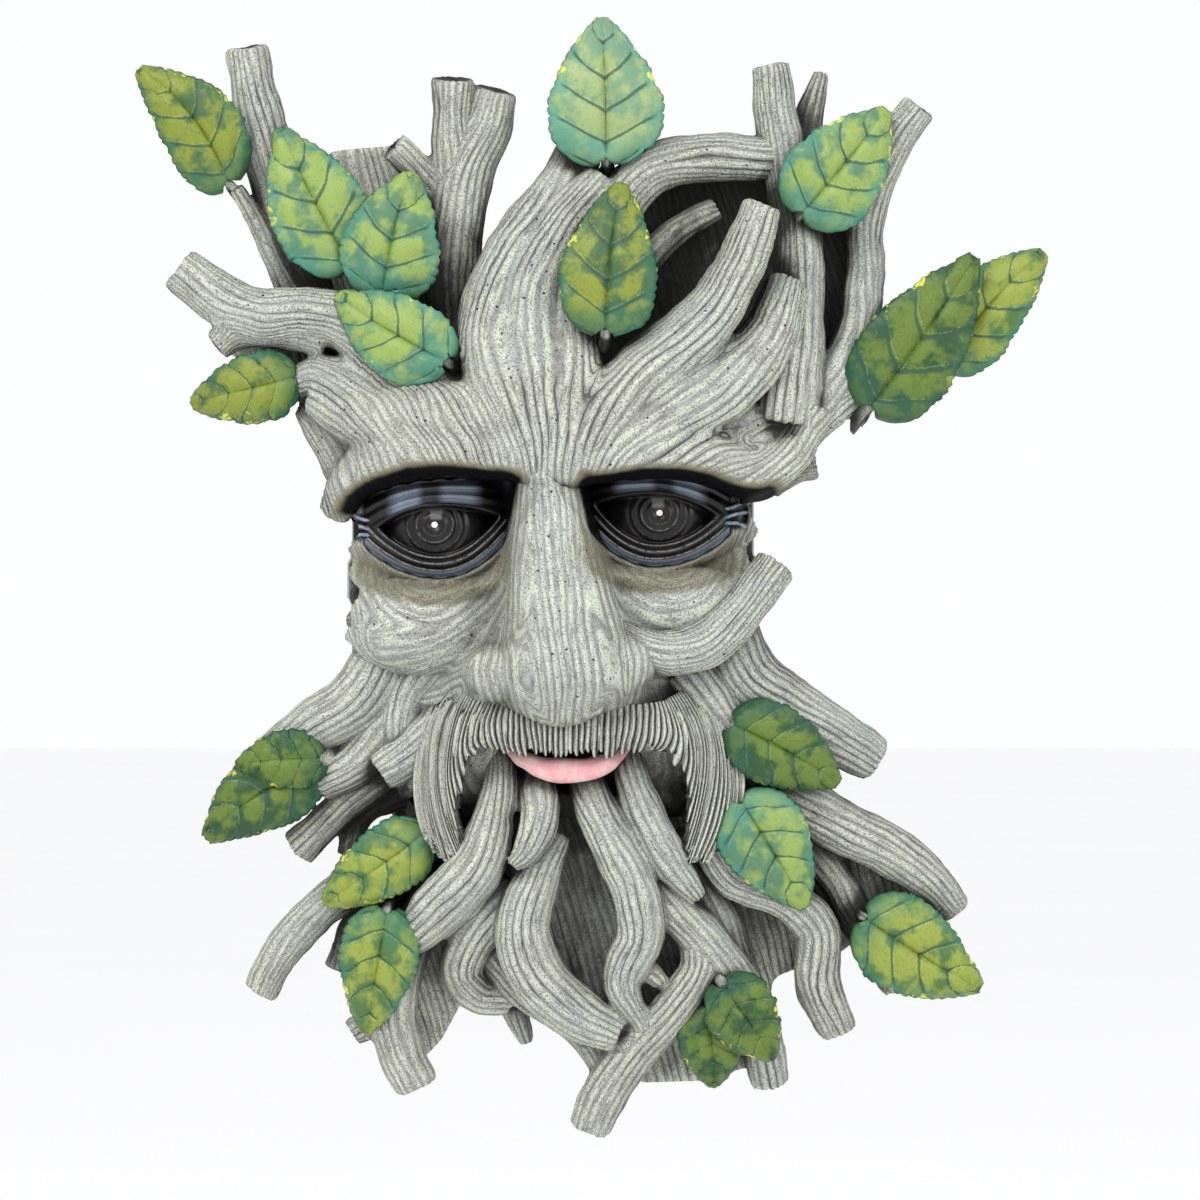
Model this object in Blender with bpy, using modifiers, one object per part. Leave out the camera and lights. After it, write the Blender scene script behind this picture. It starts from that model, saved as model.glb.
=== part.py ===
"""A garden wall sculpture: the face of a bearded tree spirit among branches, roots and leaves.

It is one solid casting with a flat back and a keyhole slot for a screw.
Metres, +Z up. The face looks along -Y and the flat back lies in the plane Y = 0.
The carving is laid out in squares of a grid: across, up, and out from the wall.
"""

import math

import bmesh
import bpy
import numpy as np
from mathutils import Matrix, Vector

# Sizes that can be set by themselves, in metres.
HEIGHT = 0.304
RELIEF = 0.073
LEAF_EDGE = 0.0022
LEAF_MIDDLE = 0.0040
WEB_THICKNESS = 0.0165
STEM_RADIUS = 0.0020
SCREW_HEAD_HOLE = 0.0104
SCREW_SHANK_SLOT = 0.0056
KEYHOLE_DEPTH = 0.0092
KEYHOLE_LIP = 0.0032
SLOT_RISE = 0.0125
KEYHOLE_ABOVE_MOUNT = 0.036

# The layout drawing: its height and its greatest relief in squares.
LAYOUT_HEIGHT = 112.6
LAYOUT_RELIEF = 27.0
SQUARE = HEIGHT / LAYOUT_HEIGHT
STEP_OUT = RELIEF / LAYOUT_RELIEF

# Fineness of the casting's surface.
SKIN = HEIGHT / 270
BACK_SPARE = 0.0015
ROUTE_STEPS = 5
SMOOTHING = 0.5
SMOOTHING_PASSES = 3
KEPT_SHARE = 0.0247

# Branches above the brow. Each row is across, up, out from the wall, radius, in squares.
BRANCHES = {
    "left_tall": ((-34, 52.8, 7.5, 2.1), (-33, 47, 7, 2.4), (-31, 39, 6, 2.5),
                  (-28.8, 31, 5.5, 2.4), (-26, 25, 6, 2.6), (-20, 19, 8, 3)),
    "left_stub": ((-40.6, 30.9, 9.5, 2.2), (-36.8, 28, 9.5, 2.6), (-32.5, 25.8, 10, 2.9),
                  (-28, 26.2, 10.5, 2.7), (-23, 24.8, 11.5, 3), (-17, 19, 13.5, 3.8), (-12, 14, 15, 4)),
    "left_stub_lobe": ((-36.9, 23, 9.5, 1.5), (-34.8, 24.6, 9.5, 1.9), (-31, 25, 9.5, 2.2), (-26, 24, 10, 2.2)),
    "left_temple": ((-30, 19.2, 9, 1.5), (-26.8, 19.8, 10, 2.4), (-22.5, 17.5, 12, 3.4), (-20, 12.5, 13, 3.5)),
    "left_edge": ((-28.4, 17.2, 8, 1.3), (-26.6, 15.2, 9, 2), (-24, 11.5, 10.5, 2.6), (-21.5, 6.5, 11.5, 2.6)),
    "left_twig": ((-35, 38.8, 9, 0.8), (-33.2, 35.8, 8, 0.9), (-31.4, 31.8, 7.5, 1), (-29, 27.5, 8, 1.4)),
    "forked": ((-13.8, 16, 9, 3), (-13.8, 24, 8, 3), (-13.8, 32, 7.5, 3), (-12.6, 40, 7.5, 3),
               (-10.2, 44.8, 8, 2.4), (-9.2, 48.4, 8.5, 2.1)),
    "fork_left_tip": ((-13.3, 38, 7.5, 2.5), (-13.8, 43, 8.5, 1.9), (-13.8, 46, 9, 1.8), (-13.6, 49.6, 9.5, 2.3)),
    "fork_side_stub": ((-14, 37, 7.5, 1.9), (-17, 40.6, 8.5, 1.6), (-19.4, 42.8, 9.5, 1.5)),
    "crown_left": ((-5.5, 11, 17, 3), (-8.3, 18, 17, 3.5), (-9.6, 25, 15.5, 3.4), (-7.2, 32, 13.5, 3.1),
                   (-3, 38.2, 11, 2.7), (-0.9, 42.5, 9, 2.4)),
    "crown_middle": ((-3.5, 11, 18, 2.7), (-5, 20, 17.5, 3.1), (-5.5, 28, 16, 3), (-2.5, 34.5, 14, 2.6),
                     (1.2, 39, 12, 2.4)),
    "crown_arch": ((-1, 12, 18, 2.6), (-1.5, 20, 17.5, 2.8), (-1.5, 28, 15.5, 2.8), (1.5, 34.5, 13.5, 2.6),
                   (5.6, 40.2, 11.5, 2.4), (11.5, 41.8, 9.5, 2.4), (18, 41.6, 8, 2.3)),
    "inner_twig": ((0.5, 26.5, 12.5, 1.9), (5, 31, 9.8, 1.6), (8.5, 34.6, 9, 1.4), (12.6, 36.8, 8.5, 1.2)),
    "right_upright": ((17.8, 50.9, 8, 1.9), (18.5, 45.5, 8, 2.2), (19.3, 40.5, 8.5, 2.2), (20.4, 35, 9.5, 2.4),
                      (20.5, 29, 10.5, 2.6), (20, 22, 12, 3.2), (19, 15, 13, 3.6)),
    "right_outer": ((32.6, 46.8, 9, 1.8), (29.8, 43, 8.5, 2), (27.4, 36.5, 8, 1.9), (27.2, 30, 8, 1.9),
                    (26.5, 24.5, 9, 2.2), (24, 19.5, 10, 2.6), (20, 15, 12, 3)),
    "right_leaf_stalk": ((24, 17.5, 9, 1.9), (30, 19.5, 8.2, 1.5), (36.5, 23, 8.2, 1.1)),
    "back_twig": ((22.9, 50.4, 5, 0.8), (22, 47, 5, 1.3), (21, 41, 5.5, 1.6)),
    "brow_horn": ((16.9, 36.6, 17, 1.8), (14.3, 30, 17.5, 2.5), (10.5, 24.5, 18, 3), (5, 20, 18.5, 3.2),
                  (1, 15, 18.5, 3), (-1, 11, 18, 2.6)),
    "forehead_right": ((2, 12, 18, 2.4), (7, 15.4, 18, 3), (12.5, 18.5, 17, 3.4), (17.5, 23.5, 14.5, 3),
                       (19.5, 29, 12, 2.4)),
    "forehead_left": ((-27, 17.8, 10.5, 2), (-21, 15.6, 14, 3.4), (-14.5, 15.6, 16.6, 3.8), (-8.5, 16, 17.4, 3.4)),
    "brow_left": ((-24.8, 9, 12, 1.8), (-20.5, 11.8, 14.8, 2.6), (-15, 13.4, 16.8, 3), (-9, 12.9, 17.6, 3),
                  (-1, 11.7, 17.8, 2.7)),
    "brow_right": ((-2.5, 11.7, 17.8, 2.7), (5, 13, 18, 2.9), (11, 13.2, 17, 3), (16.4, 13, 14.8, 3.2),
                   (20.8, 17.5, 12.5, 3.2)),
    "right_temple": ((14, 9.5, 13.5, 2.4), (17.6, 10.8, 12.5, 2.4), (22, 16.2, 11, 2.4), (27, 19.4, 9.5, 1.8)),
    "temple_nub": ((17.5, 9.5, 8, 1.8), (20.2, 11.2, 8, 1.7), (22.4, 11.6, 8, 1.7)),
    "cheek_right": ((2.8, -5, 17, 1.4), (6.8, -7, 18, 2.2), (11.2, -6.4, 18, 2.5), (14.8, -3.2, 17, 2.2),
                    (18.2, 1.5, 15.5, 2.1)),
    "cheek_left_nub": ((-21.5, -4, 9.5, 1.8), (-23.6, -4.6, 8.5, 1.3)),
}

# Roots that spread from the cheeks and jaw.
ROOTS = {
    "left_shoulder": ((-19, -3, 11, 3), (-20.6, -8.2, 11, 3), (-23.2, -11.9, 10.5, 3), (-27.2, -14.5, 9, 2.7),
                      (-31.4, -17.6, 7.5, 2.1), (-34.2, -20, 6.5, 1.5)),
    "left_leaf": ((-18, -12, 10, 2.8), (-22.5, -17.6, 9.5, 2.2), (-27, -20.4, 9, 1.7)),
    "left_finger": ((-17, -16.5, 8, 2.4), (-23.6, -21.6, 7, 1.9), (-29, -26.7, 6, 1.9)),
    "left_jaw": ((-15, -7.5, 12, 2.6), (-18.2, -12, 11.5, 2), (-18.8, -17, 10.5, 1.8), (-17, -21, 9.5, 1.8)),
    "left_stub": ((-11.5, -10, 12.5, 2.2), (-14.5, -14, 12.8, 2.2), (-17.5, -17, 13, 2), (-20.6, -19, 12.8, 1.9)),
    "left_knuckle": ((-13.5, -16.5, 10.5, 2.4), (-16.6, -21, 10.5, 2)),
    "left_thin": ((-18, -20.5, 6, 1.8), (-22.8, -23.5, 5, 1.3), (-24.2, -27.5, 4.5, 1.2)),
    "left_long": ((-12.5, -24, 9.5, 2.8), (-19.5, -27.8, 8.5, 2.5), (-25, -31.2, 7.5, 2.1), (-30, -36, 6.5, 2),
                  (-32.9, -41, 5.5, 1.7)),
    "left_back": ((-19, -30.5, 5, 1.8), (-23.2, -34, 4.5, 1.5), (-25.1, -38.8, 4, 1.4)),
    "left_foot": ((-14, -30, 9.5, 2.8), (-18, -36, 8.5, 2.4), (-19.5, -42, 8, 2.4), (-18.8, -46.5, 7.5, 2.4),
                  (-17.2, -50.2, 7, 2.1)),
    "left_foot_spur": ((-19.5, -42.2, 7.5, 1.8), (-23.6, -44.9, 7, 1.4)),
    "right_shoulder": ((13.5, -5, 12.5, 3.2), (15.4, -9.6, 12, 3.4), (18.9, -12.5, 10.5, 3.3), (23.5, -15, 9, 2.8),
                       (28.2, -17.8, 7, 2.2)),
    "right_cheek_strand": ((9.5, -8.5, 14, 2.4), (12.5, -12.5, 14, 2.1), (14.5, -15.5, 13, 1.8)),
    "right_long": ((13.5, -15.5, 11.5, 3), (18, -20.2, 10.5, 2.7), (24, -23.9, 9.5, 2.6), (29.5, -26.7, 8.5, 2.5),
                   (33.4, -29.5, 7.5, 2.2), (36.3, -32.8, 6, 1.6)),
    "right_leaf": ((15, -19, 8.5, 2.4), (20, -24.5, 7.5, 2), (24.2, -29.5, 7, 1.9), (27, -34.5, 6, 1.8),
                   (30.6, -40.6, 4.5, 1.5)),
    "right_curl": ((11, -25, 12, 2.2), (14, -29.5, 11.5, 1.9), (19, -31.3, 10.5, 2.1), (22.4, -34.6, 9.5, 2.3),
                   (22.6, -40, 8, 2.3), (24.7, -44.8, 6.5, 1.9)),
}

# Tendrils of the beard, the front ones out from under the moustache.
TENDRILS = {
    "outer_left": ((-8.7, -16.5, 14.5, 1.6), (-9, -22, 15.5, 2), (-11, -28, 14.5, 2.7), (-15, -32.5, 12.5, 2.7),
                   (-17.8, -35.5, 10.5, 1.9)),
    "short": ((-5, -19.4, 16, 2), (-4.9, -23.5, 16.8, 2), (-6, -26.5, 16.8, 1.5), (-7.6, -28.2, 16.5, 0.8)),
    "s_shaped": ((-2.8, -25, 13.5, 1.2), (-5, -29, 14, 2.2), (-6.5, -34, 13.8, 2.7), (-5.5, -38.5, 13.2, 2.8),
                 (-1.5, -42.5, 12.2, 2.6), (2.8, -44.8, 11.5, 1.9)),
    "middle": ((-0.5, -19.4, 16.5, 2), (1.5, -24.5, 16, 2.2), (4.2, -30, 15, 2.4), (5, -35, 14, 2.4),
               (3.2, -39.5, 13, 2), (5.2, -43.8, 12, 1)),
    "spur": ((4, -37, 12.5, 1.3), (7, -39.8, 12, 0.9)),
    "right": ((3.8, -18.2, 15, 1.8), (5.5, -23, 15, 2), (7.8, -27.5, 14.5, 1.9), (10.7, -31.3, 13, 1)),
    "right_root": ((6, -30, 12, 2.3), (11, -35.5, 11, 2.3), (15, -40.5, 9, 2.2), (16.8, -45.5, 7.5, 2.2),
                   (17.9, -50, 6.5, 2)),
    "right_inner": ((8, -25.5, 10.5, 2.4), (12.5, -33, 8.5, 2), (14.5, -37.5, 6.5, 1.8)),
    "bottom": ((9.5, -33.5, 11, 2), (10.8, -38, 11, 2), (8, -42.5, 11, 2.2), (4, -46.8, 10, 2.4),
               (1.3, -51, 8, 2.3), (0, -54.4, 6.5, 2.1)),
    "bottom_feeder": ((-9.5, -36.5, 9.5, 2.2), (-5.6, -40.6, 9, 2.4), (-0.8, -43.8, 8.5, 2.4), (2.2, -48.2, 8, 2.2)),
    "curl": ((-7, -30.5, 12, 2.4), (-11.2, -35, 11, 2.4), (-12.7, -38.6, 9.5, 2.2), (-11, -41.2, 8.5, 1.8),
             (-8, -41.6, 8, 1.6)),
    "small_tip": ((-8, -41, 6, 1.6), (-6.3, -46, 4.5, 0.8)),
    "lower_lip": ((-8, -16.8, 14, 0.6), (-5.5, -18.3, 15.8, 1.1), (-2, -19, 16.6, 1.35), (1.5, -18.4, 15.8, 1.1),
                  (3.6, -16.5, 14, 0.6)),
}

# Webs of casting that tie the limbs together at the back. Corners in squares.
WEBS = {
    "crown_left": ((-26, 42.6), (-18, 43.3), (-13.5, 36), (-12, 16), (-26, 17), (-36, 22.5), (-33, 25), (-31.5, 27.5),
                   (-29, 30)),
    "crown_right": ((-3, 37), (3, 41), (17, 41.8), (21, 37), (27, 37), (27.6, 21), (21, 15), (-3, 18)),
    "beard": ((-22, -31), (-14, -24.5), (-16, -10), (16, -10), (22, -22), (33, -30.5), (30, -32.5), (28, -34.5),
              (25, -37), (21, -38.5), (18.2, -39.5), (17.2, -48), (11, -49.8), (5, -50), (1.8, -45.6), (-3.6, -41),
              (-12, -40.6), (-14.8, -45.8), (-17, -48), (-19, -42), (-22.5, -35)),
}

# Leaves: base and tip as across, up, out; greatest width; sideways bow of the midrib, in squares; roll in degrees.
LEAVES = {
    "top_left": ((-35.8, 39.3, 9.5), (-45.2, 50.7, 9), 7.6, -1.2, 0),
    "upper_left": ((-23.6, 31, 11.5), (-30.5, 44.2, 10.5), 9.4, 0.4, 6),
    "left_trio": ((-20.3, 28.1, 13.5), (-17.6, 39.8, 13), 9.4, 0.2, -6),
    "left_low": ((-14.1, 21.3, 17.2), (-24.5, 27.7, 15), 7.8, 0.3, 0),
    "left_temple": ((-29.3, 19.9, 10.5), (-39, 17.5, 9.5), 6.3, 0, 0),
    "crown": ((1.6, 41.2, 14), (1.2, 56, 12.5), 11, -0.1, 0),
    "forehead": ((1.5, 24.2, 21.4), (3, 38.3, 18.6), 9.1, 0.3, 0),
    "right_top": ((20.8, 36, 12.5), (29, 46, 11.8), 9.2, -0.2, 0),
    "right_big": ((27.6, 17, 11.5), (37.7, 31.6, 12.5), 9.8, -0.3, 0),
    "right_back": ((35.2, 21.6, 9), (45.6, 32.6, 9), 7.8, 0.6, 0),
    "left_root_upper": ((-26.6, -17.7, 11), (-34.5, -18.4, 10), 5.2, -0.3, 0),
    "left_root_lower": ((-27.2, -18.8, 9.6), (-37.7, -25.4, 9), 7.4, -0.9, 0),
    "left_long_root": ((-16.3, -25, 12.2), (-25.9, -31.7, 11.2), 6.4, 0.1, 0),
    "left_foot": ((-20, -32.8, 12.6), (-22, -44.3, 11), 7.2, 0, 0),
    "right_shoulder": ((14, -14.2, 15.5), (24.1, -19.8, 13.5), 7.4, 0.3, 0),
    "right_cheek": ((14.8, -21.7, 14.8), (21, -31.9, 12.8), 8.2, 0.1, 0),
    "right_low": ((27.2, -33.4, 9.6), (38.3, -40.2, 8.6), 8.8, -0.3, 0),
    "bottom_front": ((13.1, -39.9, 13.2), (17.8, -46.9, 11.6), 6.4, 0.1, 0),
    "bottom_back": ((11.7, -42.4, 11), (12.2, -49.6, 10), 6, 0.1, 0),
}
LEAF_ARCH = 0.9
LEAF_CURL = 0.9
LEAF_FOLD = 0.45
STEM_REACH = 3.0
STEM_DEPTH = 3.5

# The moustache: locks that start under the nose and end along its arched lower edge.
LOCKS_A_SIDE = 9
LOCK_RADIUS = 1.45
MOUSTACHE_ROOT = ((-2, -12, 19.5), (-10.6, -10.6, 15.5))
MOUSTACHE_EDGE = ((-2, -17, 19.4), (-5.5, -17, 19), (-9, -16.8, 18.2), (-12, -20, 17), (-13.2, -26.4, 15.5),
                  (-14.8, -26.8, 15), (-16.2, -25, 14.5), (-17.1, -22, 13.8))
MOUSTACHE_BULGE = 3.2
NOSE_LINE = -2.0

# The face: its outline, the middles of the eyes and the routes of the pouches below them, in squares.
FACE_MIDDLE = -3.7
FACE_HALF_WIDTH = 20.6
FACE_HALF_HEIGHT = 30
EYES = {"left": (-15.3, 5.4, -1), "right": (7.0, 6.4, 1)}
POUCHES = (
    ((-20.8, 2), (-18, -1.2), (-14, -2), (-9.5, -0.5), (-7.6, 3)),
    ((2.4, 2), (5, -0.8), (9, -1.2), (12.5, 0.8), (14, 3.5)),
)
FACE_MARGIN = 0.5
FACE_SPACING = 0.5


def clear_scene():
    for thing in list(bpy.data.objects):
        bpy.data.objects.remove(thing)


def placed(across, up, out):
    """The point of the model at a place of the layout drawing."""
    return Vector((across * SQUARE, -out * STEP_OUT, up * SQUARE))


def smooth_route(rows, steps=ROUTE_STEPS):
    """A smooth curve through the rows, with steps points for each stretch between two of them."""
    rows = [np.array(row, float) for row in rows]
    ends = [2 * rows[0] - rows[1], *rows, 2 * rows[-1] - rows[-2]]
    route = []
    for a, b, c, d in zip(ends, ends[1:], ends[2:], ends[3:]):
        for step in range(steps):
            t = step / steps
            route.append(0.5 * (2 * b + (c - a) * t + (2 * a - 5 * b + 4 * c - d) * t**2
                                + (3 * b - a - 3 * c + d) * t**3))
    return route + [rows[-1]]


def soft_max(a, b, blend):
    return 0.5 * (a + b + np.sqrt((a - b) ** 2 + blend**2))


def soft_min(a, b, blend):
    return -soft_max(-a, -b, blend)


def dome(x, z, middle, radii, low, rise):
    """Height of an ellipsoid that stands on the level low, and falls away outside its outline."""
    reach = np.sqrt(((x - middle[0]) / radii[0]) ** 2 + ((z - middle[1]) / radii[1]) ** 2)
    return low + rise * np.sqrt(np.clip(1 - reach**2, 0, None)) - 9 * np.clip(reach - 1, 0, None)


def ridge(x, z, route, width):
    """1 along the route, falling to 0 over the width on each side."""
    points = np.array(smooth_route(route, 6))
    nearest = np.full(x.shape, np.inf)
    for across, up in points:
        nearest = np.minimum(nearest, (x - across) ** 2 + (z - up) ** 2)
    return np.exp(-nearest / width**2)


def eye_relief(x, z, surface, across, up):
    """Sinks the socket into the surface, and sets the ball and its two lids in it."""
    bowl = 11.2 + 9 * (((x - across) / 8.6) ** 4 + ((z - up - 0.2) / 6.4) ** 4)
    surface = soft_min(surface, bowl, 0.6)
    ball = dome(x, z, (across, up - 0.4), (5.2, 4.6), 10.2, 4.2)
    lids = dome(x, z, (across, up - 0.2), (6.9, 5.1), 10.2, 5.6)
    lid_height = np.where(z > up, 2.1, 2.9)
    opening = ((x - across) / 6.0) ** 2 + ((z - up) / lid_height) ** 2
    open_share = 1 / (1 + np.exp(np.minimum(12 * (opening - 1), 40)))
    return soft_max(surface, ball * open_share + lids * (1 - open_share), 0.5)


def nose_relief(x, z):
    """Bridge, tip and the two wings of the nose."""
    down = np.clip((9.5 - z) / 20, 0, 1)
    middle = -3.9 + 2.2 * down
    half_width = 3.2 + 2.8 * down
    bridge = 17.8 + 7.4 * down**1.2 - 4.2 * (np.abs(x - middle) / half_width) ** 2.2
    bridge = bridge - 3 * np.clip(z - 13, 0, None) - 3 * np.clip(-11 - z, 0, None)
    tip = dome(x, z, (-1.8, -9.4), (5.6, 5.2), 20.0, 6.6)
    left_wing = dome(x, z, (-9.2, -8.8), (3.4, 3.1), 16.5, 5.6)
    right_wing = dome(x, z, (4.4, -8.2), (3.1, 3.1), 16.5, 5.6)
    return soft_max(soft_max(bridge, tip, 1.6), soft_max(left_wing, right_wing, 0.5), 1.8)


def face_relief(x, z):
    """How far the face stands out from the wall, in squares, and under 0 outside its outline."""
    outline = (np.abs(x - FACE_MIDDLE) / FACE_HALF_WIDTH) ** 3 + (np.abs(z) / FACE_HALF_HEIGHT) ** 3
    surface = -2 + 17.5 * np.clip(1 - outline, 0, None) ** 0.45
    inside = outline < 1
    left_cheek = dome(x, z, (-17.3, -4.4), (7.6, 4.9), 11.5, 7.2)
    right_cheek = dome(x, z, (10, -3.4), (8, 4.6), 11.5, 6.0)
    surface = soft_max(surface, soft_max(left_cheek, right_cheek, 0.5), 1.0)
    for across, up, _ in EYES.values():
        surface = eye_relief(x, z, surface, across, up)
    for route in POUCHES:
        surface = surface + 1.5 * ridge(x, z, route, 1.7)
    surface = soft_max(surface, nose_relief(x, z), 0.9)
    mouth = 10 + 9 * (((x + 2) / 9) ** 4 + ((z + 18.5) / 3.6) ** 4)
    surface = soft_min(surface, mouth, 0.6)
    return np.where(inside, np.maximum(surface, 0.4), -1.0)


def add_mesh(casting, mesh):
    casting.from_mesh(mesh)
    bpy.data.meshes.remove(mesh)


def mesh_of_curve(curve, name):
    """The curve's closed mesh, its caps welded to its sides."""
    thing = bpy.data.objects.new(name, curve)
    bpy.context.scene.collection.objects.link(thing)
    graph = bpy.context.evaluated_depsgraph_get()
    graph.update()
    mesh = bpy.data.meshes.new_from_object(thing.evaluated_get(graph))
    bpy.data.objects.remove(thing)
    bpy.data.curves.remove(curve)
    welded = bmesh.new()
    welded.from_mesh(mesh)
    bmesh.ops.remove_doubles(welded, verts=welded.verts, dist=0.00001)
    welded.to_mesh(mesh)
    welded.free()
    return mesh


def add_limb(casting, name, rows):
    """A round limb of changing girth along a smooth route."""
    curve = bpy.data.curves.new(name, "CURVE")
    curve.dimensions = "3D"
    curve.bevel_depth = SQUARE
    curve.bevel_resolution = 3
    curve.use_fill_caps = True
    route = smooth_route(rows)
    spline = curve.splines.new("POLY")
    spline.points.add(len(route) - 1)
    for point, (across, up, out, radius) in zip(spline.points, route):
        point.co = (*placed(across, up, out), 1)
        point.radius = radius
    add_mesh(casting, mesh_of_curve(curve, name))


def add_web(casting, name, corners):
    """A flat plate against the wall, from its outline."""
    curve = bpy.data.curves.new(name, "CURVE")
    curve.dimensions = "2D"
    curve.fill_mode = "BOTH"
    curve.extrude = (WEB_THICKNESS + BACK_SPARE) / 2
    spline = curve.splines.new("POLY")
    spline.points.add(len(corners) - 1)
    for point, (across, up) in zip(spline.points, corners):
        point.co = (across * SQUARE, up * SQUARE, 0, 1)
    spline.use_cyclic_u = True
    mesh = mesh_of_curve(curve, name)
    upright = Matrix.Rotation(math.radians(90), 4, "X")
    mesh.transform(Matrix.Translation((0, (BACK_SPARE - WEB_THICKNESS) / 2, 0)) @ upright)
    add_mesh(casting, mesh)


def add_plate(casting, columns, rows, front_of, back_of):
    """A closed plate: a grid of front points, drawn back to its other side."""
    plate = bmesh.new()
    bmesh.ops.create_grid(plate, x_segments=columns, y_segments=rows, size=0.5)
    grid_places = {vertex: (vertex.co.x, vertex.co.y) for vertex in plate.verts}
    kept_faces = []
    for face in list(plate.faces):
        corners = [front_of(*grid_places[vertex]) for vertex in face.verts]
        if all(corner is not None for corner in corners):
            kept_faces.append(face)
    dropped = [face for face in plate.faces if face not in set(kept_faces)]
    bmesh.ops.delete(plate, geom=dropped, context="FACES")
    front = list(plate.verts)
    made = bmesh.ops.extrude_face_region(plate, geom=list(plate.faces))
    back = [item for item in made["geom"] if isinstance(item, bmesh.types.BMVert)]
    for vertex in back:
        vertex.co = back_of(vertex.co.x, vertex.co.y)
    for vertex in front:
        vertex.co = front_of(*grid_places[vertex])
    bmesh.ops.recalc_face_normals(plate, faces=plate.faces)
    mesh = bpy.data.meshes.new("plate")
    plate.to_mesh(mesh)
    plate.free()
    add_mesh(casting, mesh)


def add_face(casting):
    """The face as a block that reaches back to the wall."""
    width = 2 * (FACE_HALF_WIDTH + FACE_MARGIN)
    height = 2 * (FACE_HALF_HEIGHT + FACE_MARGIN)
    columns = round(width / FACE_SPACING)
    rows = round(height / FACE_SPACING)
    across = FACE_MIDDLE + width * (np.arange(columns + 1) / columns - 0.5)
    up = height * (np.arange(rows + 1) / rows - 0.5)
    relief = face_relief(*np.meshgrid(across, up, indexing="ij"))

    def front_of(u, v):
        column = round((u + 0.5) * columns)
        row = round((v + 0.5) * rows)
        out = relief[column, row]
        return placed(across[column], up[row], out) if out > 0 else None

    def back_of(u, v):
        point = placed(FACE_MIDDLE + width * u, height * v, 0)
        return point + Vector((0, BACK_SPARE, 0))

    add_plate(casting, columns, rows, front_of, back_of)


def leaf_half_width(along):
    """Half the leaf's width as a share of its greatest width: broad near the base, pointed at the tip."""
    return 0.5 * 2.26 * along**0.45 * (1 - along) ** 0.8


def leaf_frame(base, tip, roll):
    """Base point, length, and the leaf's own directions: along it, across it and out of its face."""
    start, end = placed(*base), placed(*tip)
    along = (end - start).normalized()
    face_out = (Vector((0, -1, 0)) - along * along.dot(Vector((0, -1, 0)))).normalized()
    face_out = Matrix.Rotation(math.radians(roll), 3, along) @ face_out
    return start, (end - start).length, along, face_out.cross(along), face_out


def add_leaf(casting, name, base, tip, width, bow, roll):
    """A leaf that arches along its length, bends back at its edges and dips along its midrib, with its stem."""
    start, length, along, across, face_out = leaf_frame(base, tip, roll)

    def surface(u, v, depth_share):
        share = 0.015 + 0.965 * (u + 0.5)
        side = 2 * v
        half_width = leaf_half_width(share) * width * SQUARE
        arch = 4 * share * (1 - share)
        rise = LEAF_ARCH * arch - LEAF_CURL * side**2 + LEAF_FOLD * min(1, 4 * abs(side))
        thickness = LEAF_EDGE + (LEAF_MIDDLE - LEAF_EDGE) * (1 - side**2)
        middle = start + along * length * share + across * bow * arch * SQUARE
        return middle + across * half_width * side + face_out * (rise * STEP_OUT - depth_share * thickness)

    add_plate(casting, 10, 14, lambda u, v: surface(v, u, 0), lambda u, v: surface(v, u, 1))
    back = (Vector((base[0] - tip[0], base[1] - tip[1])).normalized()) * STEM_REACH
    inward = (base[0] + back.x, base[1] + back.y, base[2] - STEM_DEPTH)
    outward = (base[0] - back.x, base[1] - back.y, base[2] - 0.2)
    stem = STEM_RADIUS / SQUARE
    add_limb(casting, name + "_stem", ((*inward, stem * 1.2), (*base, stem), (*outward, stem * 0.6)))


def moustache_lock(share, side):
    """Rows of one lock, from the nose to the moustache's edge. Share runs from the middle to the outside."""
    root = np.array(MOUSTACHE_ROOT[0]) * (1 - share) + np.array(MOUSTACHE_ROOT[1]) * share
    edge = smooth_route(MOUSTACHE_EDGE, 8)
    end = edge[round(share * (len(edge) - 1))]
    middle = 0.5 * (root + end) + np.array((-MOUSTACHE_BULGE * share, 0.4 * share, 1.2))
    rows = []
    for point, radius in ((root, 0.9), (middle, 1.0), (end, 0.85)):
        across = NOSE_LINE + side * (NOSE_LINE - point[0])
        rows.append((across, point[1], point[2], radius * LOCK_RADIUS))
    return rows


def add_moustache(casting):
    for side in (-1, 1):
        for lock in range(LOCKS_A_SIDE):
            share = lock / (LOCKS_A_SIDE - 1)
            add_limb(casting, f"lock_{side}_{lock}", moustache_lock(share, side))


def fused_mesh():
    """All the carved forms in one mesh, none reaching further back than the spare behind the wall plane."""
    casting = bmesh.new()
    add_face(casting)
    add_moustache(casting)
    for table in (BRANCHES, ROOTS, TENDRILS):
        for name, rows in table.items():
            add_limb(casting, name, rows)
    for name, corners in WEBS.items():
        add_web(casting, name, corners)
    for name, (base, tip, width, bow, roll) in LEAVES.items():
        add_leaf(casting, name, base, tip, width, bow, roll)
    for vertex in casting.verts:
        vertex.co.y = min(vertex.co.y, BACK_SPARE)
    mesh = bpy.data.meshes.new("tree_face")
    casting.to_mesh(mesh)
    casting.free()
    return mesh


def new_cutter(name, collection):
    """Takes the shape just added to the scene as a helper that isn't part of the sculpture."""
    cutter = bpy.context.active_object
    cutter.name = name
    cutter.hide_render = True
    cutter.display_type = "WIRE"
    for holder in list(cutter.users_collection):
        holder.objects.unlink(cutter)
    collection.objects.link(cutter)
    return cutter


def box_cutter(name, collection, low, high):
    size = Vector(high) - Vector(low)
    bpy.ops.mesh.primitive_cube_add(size=1, location=(Vector(low) + Vector(high)) / 2)
    cutter = new_cutter(name, collection)
    cutter.data.transform(Matrix.Diagonal((*size, 1)))
    return cutter


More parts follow.
